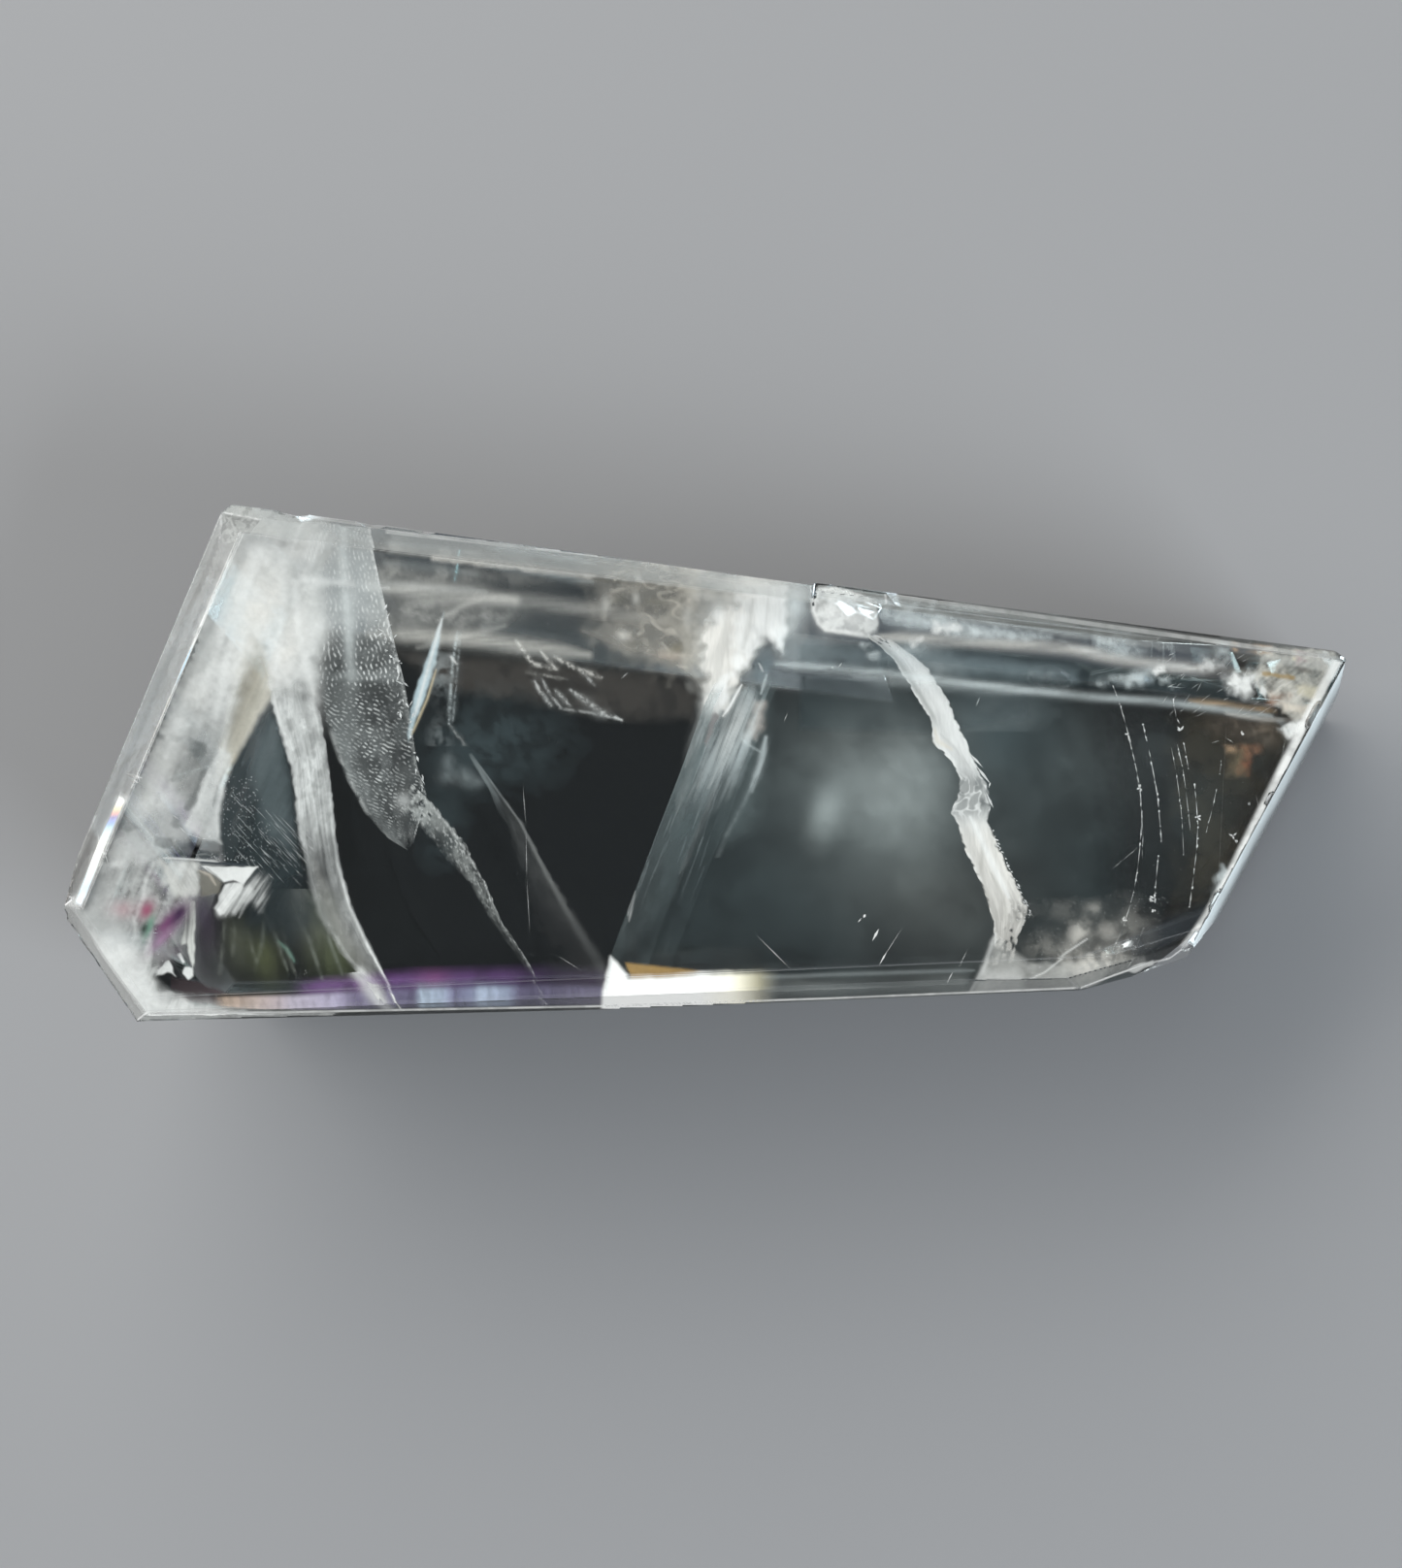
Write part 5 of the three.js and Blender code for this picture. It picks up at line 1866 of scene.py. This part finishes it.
# How dense the ribbon is at these pixel heights
RIBBON_HEIGHTS = [655, 690, 760, 790, 806, 834, 850, 900, 935, 992]
RIBBON_BODY = [0.7, 0.85, 0.95, 0.9, 0.45, 0.45, 0.88, 0.9, 0.75, 0.35]
RIBBON_LINES = [
    ([(963, 752), (966, 764), (980, 772)], 3.5, 0.75, (0.78, 0.74, 0.66)),
    ([(968, 756), (985, 772), (1000, 792)], 1.8, 0.35, (0.45, 0.46, 0.45)),
    ([(1014, 868), (1012, 884), (1010, 902)], 3, 0.5, (0.42, 0.41, 0.38)),
    ([(1010, 890), (1016, 915), (1024, 945)], 2.6, 0.45, (0.40, 0.39, 0.36)),
    ([(1022, 900), (1034, 925), (1038, 955)], 2.2, 0.45, (0.36, 0.35, 0.32)),
    ([(1030, 895), (1048, 925)], 1.6, 0.3, (0.50, 0.48, 0.45)),
    ([(1000, 842), (1010, 862), (1026, 895), (1040, 925)], 3.5, 0.7, WHITE),
]


def ribbon():
    """The twisted white ribbon of fracture from the ledge to the front corner."""
    sheet = Sheet("ribbon", RIBBON_LEFT, RIBBON_RIGHT, 0.085, seed=201)
    sheet.lift(sheet.noise(6, 2) * 0.08)
    silk = 0.82 + 0.2 * sheet.fibres(8, 1.0, 0.1)
    edge = sheet.fade(0.01, 0.07, 0.05, 0.07, 0.025, 0.5)
    upper = 1 - ramp(sheet.y, 765, 790)
    crumple = ramp(sheet.y, 792, 806) * (1 - ramp(sheet.y, 834, 848))
    body = np.interp(sheet.y, RIBBON_HEIGHTS, RIBBON_BODY)
    sheet.area_of(edge, body * silk, blend(WHITE, WARM_WHITE, ramp(sheet.y, 830, 870)))
    left_third = peak(sheet.across, 0.19, 0.11) * (1 - ramp(sheet.y, 735, 765))
    sheet.area_of(edge * left_third, 0.75, (0.34, 0.36, 0.35))
    sheet.area_of(edge * upper * peak(sheet.across, 0.62, 0.2), 0.85 * silk, WHITE)
    sheet.area_of(edge * peak(sheet.across, 0.05, 0.05), 0.5 * sheet.clouds(1), WHITE)
    sheet.area_of(edge * crumple, 0.7 * ramp(np.abs(sheet.noise(0.8, 0.8)), 0.45, 0.05), WHITE)
    sheet.area_of(edge * crumple, 0.6 * ramp(sheet.noise(0.7, 0.7), 0.5, 1.3), (0.10, 0.12, 0.12))
    low_end = ramp(sheet.y, 905, 945)
    sheet.area_of(edge * low_end, 0.6 * ramp(sheet.fibres(6, 0.7), 0.5, 0.7), (0.30, 0.29, 0.27))
    for points, width, strength, tint in RIBBON_LINES:
        sheet.line(points, width, strength, tint)
    sheet.shade(1 - 0.75 * sheet.spot(1013, 827, 4, 5))
    sheet.shade(1 - 0.6 * sheet.spot(1052, 940, 9, 8) * ramp(sheet.noise(0.6, 0.6), -0.4, 0.6))
    # The self-lit finish adds a painted white glow.
    sheet.build("self_lit_silky_veil")


# (start, end, width in mm)
RIBBON_SPLINTERS = [
    ((1000, 777, 5), (1013, 791, 5), 0.22), ((1006, 789, 5), (1021, 808, 5), 0.26),
    ((1016, 816, 5), (1024, 833, 5), 0.2), ((1019, 812, 5), (1021, 806, 5), 0.16),
]
RIBBON_CRUMBS = [(1036, 930), (1062, 930), (1066, 950), (1044, 960)]


def ribbon_chips():
    """Splinters along the right edge of the ribbon."""
    chips = Slivers("ribbon_chips", seed=202)
    for start, end, width in RIBBON_SPLINTERS:
        chips.add(under_top(*start), under_top(*end), width)
    for _ in range(46):
        share = chips.random.uniform(0, 1)
        x = np.interp(share, [0, 0.3, 1], [1021, 1034, 1061])
        y = np.interp(share, [0, 0.3, 1], [852, 884, 940])
        place = np.array(under_top(x + chips.random.normal(), y, 5))
        chips.add(place, place + np.array((0.25, -0.2, 0)) * MM * chips.random.uniform(0.3, 1.3), 0.13)
    chips.scatter(RIBBON_CRUMBS, 36, 0.14, (2, 4))
    chips.build()


CORNER_FROST_BOX = box(985, 900, 1215, 1034)
FROSTED_TRIANGLE = [
    (1026, 962), (1018, 984), (1010, 1005), (1002, 1030), (1062, 1030), (1121, 1024), (1156, 1006),
    (1190, 996), (1180, 985), (1120, 988), (1060, 990), (1040, 976),
]
TRIANGLE_EDGE = [(1026, 962), (1017, 988), (1009, 1008), (1002, 1028)]
RIBBON_FOOT = [(1012, 996), (1050, 996), (1066, 1028), (1000, 1030)]
CORNER_CLUMPS = [
    (1130, 990, 24, 12, 0.75, -0.25), (1112, 962, 11, 15, 0.5, 0.3), (1150, 985, 16, 12, 0.06, 0),
    (1075, 975, 20, 14, 0.14, 0), (1160, 958, 22, 24, 0.16, 0), (1095, 938, 28, 11, 0.07, 0),
    (1098, 984, 14, 9, 0.3, 0), (1140, 960, 12, 10, 0.25, 0.4), (1128, 936, 9, 6, 0.2, 0),
]
CORNER_SCRATCH = [(1057, 1011), (1077, 1001), (1097, 983), (1121, 967)]


def corner_frost():
    """Frosted triangle and clouds in the front right corner."""
    frost = Patch("corner_frost", CORNER_FROST_BOX, (1.0, 1.6), 0.13, seed=211)
    frost.tuck(0.2)
    bright = 0.26 + 0.16 * frost.clouds(3) + 0.2 * frost.spot(1100, 1010, 40, 16)
    bright = bright * (1 - 0.4 * ramp(frost.x, 1120, 1190))
    frost.area(FROSTED_TRIANGLE, 5, bright, (0.80, 0.80, 0.78), 1)
    frost.line(TRIANGLE_EDGE, 2.5, 0.4, WHITE)
    frost.area(RIBBON_FOOT, 10, 0.3, WHITE, 1)
    for x, y, half_x, half_y, strength, turn in CORNER_CLUMPS:
        strength = strength * (0.3 + 0.9 * frost.clouds(1.6))
        frost.glow(x, y, half_x, half_y, strength, (0.88, 0.85, 0.80), turn)
    frost.line(CORNER_SCRATCH, 0.8, 0.7, WHITE)
    frost.build()


CORNER_SHADE_BOX = box(1140, 920, 1260, 1000)
CORNER_SHADE = [(1160, 964), (1246, 930), (1252, 948), (1214, 966), (1166, 986)]


def corner_shade():
    """Painted shade over the wall beside the front right corner."""
    shade = Patch("corner_shade", CORNER_SHADE_BOX, (2.2, 2.6), 0.2, seed=212)
    shade.tuck()
    shade.area(CORNER_SHADE, 6, 0.7, (0.03, 0.035, 0.04), 0.5)
    shade.build("mist_veil")


CORNER_CRUMBS = [(1050, 925), (1205, 920), (1195, 1000), (1060, 1000)]
RIGHT_CORNER_CRUMBS = [(1145, 915), (1205, 920), (1190, 1000), (1140, 1000)]


def corner_specks():
    """Crumbs around the frosted clouds."""
    specks = Slivers("corner_specks", seed=217)
    specks.scatter(CORNER_CRUMBS, 210, 0.09, (1.0, 4.0))
    specks.scatter(RIGHT_CORNER_CRUMBS, 60, 0.1, (1.0, 3.0))
    specks.build()


# (line, width in mm)
ARCS = [
    (
        [
            (1147, 706), (1153, 722), (1160, 745), (1166, 770), (1171, 792), (1176, 817),
            (1177, 840), (1176, 862), (1172, 900), (1168, 922), (1160, 950), (1150, 973),
            (1141, 992), (1136, 1003),
        ],
        0.11,
    ),
    ([(1172, 800), (1176, 830), (1178, 860), (1177, 885)], 0.06),
    ([(1178, 745), (1180, 756), (1182, 764)], 0.18),
    ([(1184, 772), (1189, 797), (1193, 820), (1195, 840), (1197, 868)], 0.14),
    ([(1194, 881), (1192, 900), (1190, 924)], 0.1),
    ([(1207, 769), (1213, 800), (1218, 840), (1220, 882)], 0.07),
    ([(1213, 765), (1219, 792), (1223, 820), (1227, 857)], 0.09), ([(1220, 765), (1225, 793)], 0.1),
    ([(1209, 720), (1212, 738), (1216, 746)], 0.1),
    ([(1231, 807), (1234, 835), (1235, 860), (1232, 888), (1226, 936)], 0.14),
    ([(1254, 813), (1248, 840), (1243, 858)], 0.07), ([(1259, 783), (1257, 798)], 0.08),
    ([(1179, 955), (1170, 981), (1163, 998)], 0.1), ([(1147, 895), (1160, 884), (1172, 874)], 0.04),
    ([(1325, 760), (1321, 780)], 0.06), ([(1263, 760), (1272, 766)], 0.05),
    ([(1295, 820), (1297, 832)], 0.05), ([(1248, 766), (1253, 767), (1257, 763)], 0.08),
]
KNOTS = [
    (1162, 757), (1164, 762), (1175, 812), (1158, 948), (1186, 928), (1190, 926), (1189, 938),
    (1234, 842), (1217, 753), (1271, 862), (1276, 868), (1279, 756), (1288, 829),
]


def comb_arcs():
    """Curved rows of broken bright dashes at the right end."""
    arcs = Slivers("comb_arcs", seed=221)
    for points, width in ARCS:
        line = shifted(points, 0, 0, 2.5)
        arcs.dashes(line, width * 0.5, dash=1.5, gap=0.06, stray=0.008)
        arcs.dashes(line, width * 1.25, dash=0.24, gap=0.4, stray=0.035, strength=0.55)
    for x, y in KNOTS:
        place = np.array(under_top(x, y, 2.4))
        for _ in range(4):
            arcs.add(place, place + arcs.random.standard_normal(3) * 0.22 * MM, 0.2)
    arcs.build()


# (start, end, width in mm)
SCRATCHES = [
    ((780, 964), (816, 1000), 0.06), ((930, 956), (911, 986), 0.05), ((914, 981), (906, 995), 0.14),
    ((906, 957), (899, 970), 0.24), ((892, 942), (890, 946), 0.26), ((888, 946), (884, 951), 0.1),
    ((998, 977), (988, 999), 0.04), ((983, 1002), (977, 1016), 0.1),
    ((1010, 718), (1006, 728), 0.06), ((868, 683), (864, 688), 0.07),
    ((857, 688), (859, 688), 0.16), ((812, 734), (808, 744), 0.05), ((647, 693), (640, 700), 0.05),
    ((539, 810), (542, 851), 0.04), ((542, 851), (543, 905), 0.04), ((543, 905), (546, 960), 0.04),
    ((575, 985), (600, 1001), 0.04),
]
# (outline, number of specks)
SPECK_FIELDS = (
    ([(640, 740), (1020, 720), (1010, 990), (620, 1000)], 110),
    ([(1060, 740), (1320, 760), (1230, 960), (1070, 930)], 90),
    ([(300, 700), (640, 740), (600, 1000), (420, 1000)], 90),
    ([(400, 560), (830, 610), (820, 700), (420, 660)], 50),
)


def surface_scratches():
    """Scratches and specks just under the polished top."""
    lines = Slivers("surface_scratches", seed=231)
    for start, end, width in SCRATCHES:
        lines.add(under_top(*start, 0.4), under_top(*end, 0.4), width, 0.05)
    for outline, count in SPECK_FIELDS:
        lines.scatter(outline, count, 0.055, (0.4, 6))
    for _ in range(60):
        x = lines.random.uniform(1190, 1340)
        y = lines.random.uniform(650, 740)
        turn = lines.random.normal(-0.6, 0.2)
        reach = lines.random.uniform(5, 16)
        lines.add(
            under_top(x, y, 0.4),
            under_top(x + reach * math.cos(turn), y + reach * math.sin(turn), 0.4), 0.03, 0.03,
        )
    lines.build()


GLINTS_BOX = box(1110, 650, 1385, 815)
GLINTS_PAINTED_DARK = [(1240, 664), (1300, 668), (1296, 722), (1290, 726), (1236, 700)]
GLINTS_PALE = [
    (1296, 672), (1376, 674), (1382, 686), (1352, 742), (1334, 744), (1318, 730), (1300, 714),
    (1292, 700),
]
# (outline, soft rim in pixels, strength, tint), as in the next table
CORNER_REFLECTION_PATCHES = [
    (
        [(1300, 692), (1312, 692), (1334, 697), (1334, 701), (1314, 699), (1300, 696)], 2, 0.7,
        (0.42, 0.28, 0.10),
    ),
    (
        [(1326, 686), (1340, 684), (1352, 691), (1350, 695), (1338, 693)], 3, 0.65,
        (0.14, 0.13, 0.12),
    ),
    ([(1306, 706), (1318, 708), (1314, 714), (1304, 712)], 3, 0.45, (0.16, 0.16, 0.15)),
    ([(1334, 704), (1362, 708), (1356, 722), (1338, 716)], 5, 0.7, (0.82, 0.76, 0.60)),
    ([(1320, 724), (1352, 726), (1348, 736), (1322, 734)], 5, 0.7, (0.92, 0.84, 0.74)),
    ([(1324, 738), (1348, 738), (1334, 748), (1326, 746)], 3, 0.25, (0.10, 0.08, 0.07)),
    ([(1300, 706), (1306, 712), (1304, 720), (1298, 714)], 2, 0.8, WHITE),
    ([(1352, 676), (1372, 678), (1364, 690), (1352, 688)], 5, 0.4, (0.72, 0.68, 0.66)),
    ([(1364, 677), (1371, 678), (1370, 683), (1364, 682)], 2, 0.9, WHITE),
]
GLINT_PATCHES = [
    ([(1129, 656), (1150, 654), (1168, 660), (1150, 669), (1132, 668)], 8, 0.6, COOL_WHITE),
    (
        [(1125, 704), (1148, 697), (1165, 692), (1180, 694), (1165, 702), (1140, 706)], 6, 0.55,
        COOL_WHITE,
    ),
    ([(1186, 690), (1199, 687), (1201, 692), (1190, 696)], 4, 1.0, WHITE),
    ([(1172, 697), (1190, 695), (1186, 706), (1176, 705)], 6, 0.6, (0.60, 0.76, 0.90)),
    ([(1195, 700), (1207, 698), (1207, 706), (1198, 706)], 4, 0.5, COOL_WHITE),
    ([(1238, 676), (1264, 679), (1262, 694), (1236, 690)], 6, 0.55, WHITE),
    ([(1138, 662), (1170, 660), (1184, 672), (1160, 680), (1140, 674)], 8, 0.4, COOL_WHITE),
    (
        [(1154, 700), (1170, 692), (1186, 688), (1188, 700), (1176, 708), (1160, 708)], 7, 0.5,
        COOL_WHITE,
    ),
    ([(1260, 694), (1276, 689), (1296, 692), (1298, 708), (1286, 719), (1266, 716)], 7, 0.7, WHITE),
    (
        [
            (1266, 704), (1272, 694), (1279, 698), (1292, 696), (1288, 705), (1292, 712),
            (1280, 712), (1273, 717), (1271, 708),
        ],
        3, 1.0, WHITE,
    ),
    ([(1247, 665), (1268, 667), (1267, 677), (1250, 676)], 7, 0.6, COOL_WHITE),
    ([(1270, 668), (1311, 670), (1311, 675), (1275, 674)], 4, 0.6, (0.70, 0.48, 0.32)),
    ([(1299, 669), (1310, 670), (1309, 675), (1300, 674)], 3, 0.75, (0.88, 0.52, 0.34)),
    ([(1330, 676), (1337, 676), (1337, 683), (1331, 682)], 3, 0.75, (0.90, 0.78, 0.50)),
    ([(1337, 676), (1349, 677), (1349, 685), (1338, 684)], 4, 0.75, (0.48, 0.28, 0.32)),
    ([(1310, 712), (1330, 716), (1322, 730), (1306, 724)], 6, 0.5, (0.45, 0.26, 0.18)),
    ([(1264, 772), (1284, 768), (1282, 800), (1263, 800)], 6, 0.6, (0.24, 0.19, 0.12)),
    ([(1278, 766), (1302, 770), (1298, 780), (1280, 784)], 6, 0.55, (0.30, 0.15, 0.09)),
    ([(1278, 782), (1289, 785), (1287, 800), (1276, 799)], 5, 0.6, (0.34, 0.13, 0.07)),
    ([(1262, 768), (1276, 766), (1276, 776), (1262, 778)], 5, 0.4, (0.50, 0.34, 0.22)),
    ([(1316, 751), (1328, 744), (1350, 740), (1340, 759), (1327, 763)], 3, 1.0, WHITE),
    ([(1318, 745), (1330, 752), (1326, 764)], 8, 0.4, COOL_WHITE),
]


def back_right_glints():
    """Painted glints and warm reflections, white and amber, near the back right corner, over painted dark.
    """
    glints = Patch("back_right_glints", GLINTS_BOX, (1.6, 2.2), 0.13, seed=241)
    glints.lift(glints.noise(3, 3) * 0.06)
    glints.tuck(0.2)
    glints.area(GLINTS_PAINTED_DARK, 12, 0.5, (0.045, 0.04, 0.034), 2)
    pale = 0.30 + 0.55 * glints.clouds(1.4) + 0.45 * glints.fibres(4, 0.9, -2.2)
    glints.area(GLINTS_PALE, 5, 0.85 * pale, (0.72, 0.70, 0.65), 1.2)
    for outline, soft, strength, tint in CORNER_REFLECTION_PATCHES:
        glints.area(outline, soft, strength, tint, 0.8)
    for outline, soft, strength, tint in GLINT_PATCHES:
        glints.area(outline, soft * 1.5, strength * (0.45 + 0.8 * glints.clouds(1.0)), tint, 1.4)
    glints.glow(1288, 753, 34, 13, 0.16 * (0.5 + 0.8 * glints.clouds(1.5)), (0.60, 0.48, 0.38), 0.15)
    glints.build()


WARM_SHADE_BOX = box(1100, 690, 1360, 970)
WARM_DARK = [(1130, 715), (1345, 745), (1300, 860), (1250, 930), (1215, 950), (1140, 930)]
WARM_GLOW = [(1235, 700), (1345, 740), (1300, 860), (1250, 930), (1215, 930), (1205, 740)]


def warm_shade():
    """Warm dark of the surroundings in the right end."""
    shade = Patch("warm_shade", WARM_SHADE_BOX, (11, 13), 0.4, seed=243)
    shade.area(WARM_DARK, 36, 0.8, (0.012, 0.012, 0.012), 2)
    shade.area(WARM_GLOW, 30, 0.2 * (0.5 + 0.6 * shade.clouds(4)), (0.22, 0.18, 0.12), 5)
    shade.build()


TIP_BOX = box(1350, 664, 1400, 712)
TIP = [(1362, 671), (1384, 676), (1396, 682), (1382, 704), (1370, 700), (1374, 686)]


def right_tip():
    """Haze in the blunted back right corner."""
    tip = Patch("right_tip", TIP_BOX, (-2, -2), 0.12, seed=245)
    tip.tuck(0.2)
    tip.area(TIP, 5, 0.7, COOL_WHITE, 0.6)
    tip.build()


BRUISE_BOX = box(1244, 886, 1275, 945)
BRUISE = [(1262, 892), (1270, 898), (1262, 918), (1252, 934), (1247, 926), (1252, 905)]


def edge_bruise():
    """Bruise at the right edge."""
    patch = Patch("edge_bruise", BRUISE_BOX, (0.5, 0.5), 0.12, seed=244)
    patch.tuck(0.2)
    patch.area(BRUISE, 6, 0.6 * (0.5 + 0.6 * patch.clouds(1)), COOL_WHITE, 1.5)
    patch.build()


def right_half():
    soft_clouds()
    ribbon()
    ribbon_chips()
    corner_frost()
    corner_shade()
    corner_specks()
    comb_arcs()
    surface_scratches()
    back_right_glints()
    warm_shade()
    right_tip()
    edge_bruise()


# ---- front wall ----------------------------------------------------------------------------------


BAND_TOP = [(214, 1017, 1.6), (308, 1008, 1.6), (420, 996, 1.6), (564, 992, 1.6), (624, 996, 1.6)]
BAND_FOOT = [(218, 1036, 1.2), (308, 1044, 1.2), (420, 1043, 1.2), (564, 1041, 1.2), (622, 1040, 1.2)]
# (pixel x, tint)
BAND_TINTS = [
    (214, (0.55, 0.42, 0.30)), (235, (0.95, 0.72, 0.58)), (262, (0.98, 0.80, 0.74)),
    (285, (0.90, 0.76, 0.82)), (300, (0.84, 0.76, 0.92)), (345, (0.72, 0.66, 0.90)),
    (368, (0.44, 0.38, 0.62)), (425, (0.40, 0.36, 0.60)), (434, (0.66, 0.78, 0.96)),
    (456, (0.62, 0.72, 0.94)), (468, (0.45, 0.44, 0.70)), (486, (0.50, 0.54, 0.80)),
    (494, (0.64, 0.74, 0.95)), (522, (0.58, 0.66, 0.90)), (536, (0.36, 0.32, 0.54)),
    (622, (0.42, 0.38, 0.58)),
]
# How light the band is at these pixel places
BAND_PLACES = [214, 232, 290, 345, 365, 428, 434, 458, 470, 488, 494, 524, 540, 622]
BAND_LIGHT = [0.35, 0.6, 0.75, 0.85, 0.5, 0.45, 0.9, 0.85, 0.5, 0.6, 0.9, 0.85, 0.4, 0.5]
# (pixel x, tint)
PURPLE_TINTS = [
    (300, PURPLE), (420, (0.26, 0.10, 0.38)), (447, (0.42, 0.14, 0.42)), (470, (0.22, 0.09, 0.32)),
    (620, (0.16, 0.08, 0.26)),
]
BLADE_CROSSING = [(366, 1002), (382, 1020), (400, 1044)]


def front_reflection_band():
    """Painted reflection: the coloured band of light along the front wall, from peach to lilac and purple.
    """
    band = Sheet("front_reflection_band", BAND_TOP, BAND_FOOT, 0.12, seed=261)
    band.tuck(0.2)
    tint = tint_stops(band.x, BAND_TINTS)
    bright = np.interp(band.x, BAND_PLACES, BAND_LIGHT)
    body = ramp(band.across, 0.32, 0.55) * (1 - ramp(band.across, 0.9, 1.0))
    # The purple glow along the top of the band is painted light too.
    glow = peak(band.across, 0.28, 0.18) * ramp(band.x, 295, 330)
    band.area_of(
        glow, 0.36 * (1 - 0.6 * ramp(band.x, 500, 570)) * (0.75 + 0.4 * band.clouds(3)),
        tint_stops(band.x, PURPLE_TINTS),
    )
    band.area_of(body, bright * (0.72 + 0.25 * band.fibres(0.8, 5)), tint * 0.8)
    band.line(BLADE_CROSSING, 10, 0.5, WHITE)
    band.shade(band.fade(0.04, 0.0, 0.0, 0.0))
    band.build()


FLARE_BOX = box(614, 980, 1010, 1048)
# (pixel x, tint)
FLARE_TINTS = [
    (640, WHITE), (720, WHITE), (755, (0.98, 0.94, 0.76)), (782, (0.80, 0.74, 0.46)),
    (810, (0.6, 0.6, 0.5)),
]
FLARE = [(634, 1005), (680, 1005), (720, 1001), (812, 999), (812, 1041), (620, 1047), (625, 1014)]
FLARE_EDGE = [(629, 985), (636, 991), (647, 1004), (640, 1042), (618, 1044), (622, 1012)]


def front_flare():
    """White flare on the front wall, where a window shines through."""
    flare = Patch("front_flare", FLARE_BOX, (1.2, 1.2), 0.12, seed=262)
    flare.margin = RIM_MARGIN
    flare.tuck(0.12)
    tint = tint_stops(flare.x, FLARE_TINTS)
    flare.area(FLARE, 5, 1 - ramp(flare.x, 748, 806), tint, 0.3)
    flare.area(FLARE_EDGE, 4, 0.95, WHITE, 0.3)
    flare.build("flare_veil")


FRINGE_BOX = box(614, 980, 1010, 1048)
FRINGE = [(786, 1003), (870, 1000), (1000, 1002), (1000, 1026), (786, 1034)]
FRINGE_LINE = [(785, 1005), (860, 1002), (960, 999), (1004, 998)]
AMBER_WEDGE = [(644, 992), (700, 997.5), (726, 1001), (700, 1006), (650, 1008)]


def flare_fringe():
    """The painted light that goes on from the flare to the right, and its amber wedge."""
    fringe = Patch("flare_fringe", FRINGE_BOX, (1.6, 1.6), 0.12, seed=263)
    fringe.tuck(0.35)
    light = 0.09 + 0.12 * ramp(fringe.x, 930, 1000) + 0.12 * fringe.spot(850, 1022, 45, 10)
    light = light * (0.6 + 0.5 * fringe.fibres(1, 12))
    fringe.area(FRINGE, 10, light, (0.62, 0.66, 0.66), 0.5)
    fringe.line(FRINGE_LINE, 2.5, 0.14, COOL_WHITE)
    fringe.area(AMBER_WEDGE, 3, 0.75, (0.50, 0.32, 0.12), 0.2)
    fringe.build()


# (line, strength)
EDGE_HIGHLIGHTS = [
    ([(148, 1047), (300, 1046), (620, 1041), (860, 1033), (1119, 1022)], 1.0),
    ([(1119, 1022), (1155, 1008), (1186, 997), (1212, 991), (1224, 980)], 0.9),
    ([(1224, 980), (1231, 967), (1248, 940), (1270, 900), (1348, 741), (1380, 680)], 0.85),
    ([(70, 932), (78, 950), (101, 989), (127, 1024), (146, 1046)], 0.8),
    ([(392, 546), (620, 571), (818, 597)], 0.4), ([(922, 614), (1100, 640), (1378, 680)], 0.4),
]


def edge_highlights():
    """Painted highlights: thin bright lines along the worn edges."""
    for number, (points, strength) in enumerate(EDGE_HIGHLIGHTS):
        rise = 5 if number > 3 else 2.4
        side = (-8, 4.5) if number == 2 else (0, 0)
        near = shifted(points, side[0], -rise)
        far = shifted(points, side[1], 1.2)
        line = Sheet(f"edge_line_{number + 1}", near, far, 0.1, seed=271 + number)
        line.margin = RIM_MARGIN
        line.tuck(0.12)
        line.area_of(
            line.fade(0.01, 0.01, 0.5 if number == 2 else 0.2, 0.2),
            strength * (0.7 + 0.4 * line.clouds(3)), WHITE,
        )
        line.build("glint_veil")


CHIP_BOX = box(1150, 950, 1245, 1012)
EDGE_CHIP = [(1160, 1004), (1178, 994), (1193, 992), (1196, 997), (1176, 1006)]
CORNER_CHIP = [(1229, 959), (1236, 954), (1237, 961), (1231, 966)]


def edge_chip():
    """Bright chips in the front right edge."""
    chip = Patch("edge_chip", CHIP_BOX, (0.4, 0.4), 0.1, seed=276)
    chip.tuck(0.15)
    chip.area(EDGE_CHIP, 2, 0.9, WHITE, 0.7)
    chip.area(CORNER_CHIP, 2, 0.85, WHITE, 0.7)
    chip.build()


def front_wall():
    front_reflection_band()
    front_flare()
    flare_fringe()
    edge_highlights()
    edge_chip()


def main():
    make_camera()
    make_floor()
    make_lights()
    block()
    left_end()
    healed_crack()
    middle()
    back_wall()
    right_half()
    front_wall()


main()
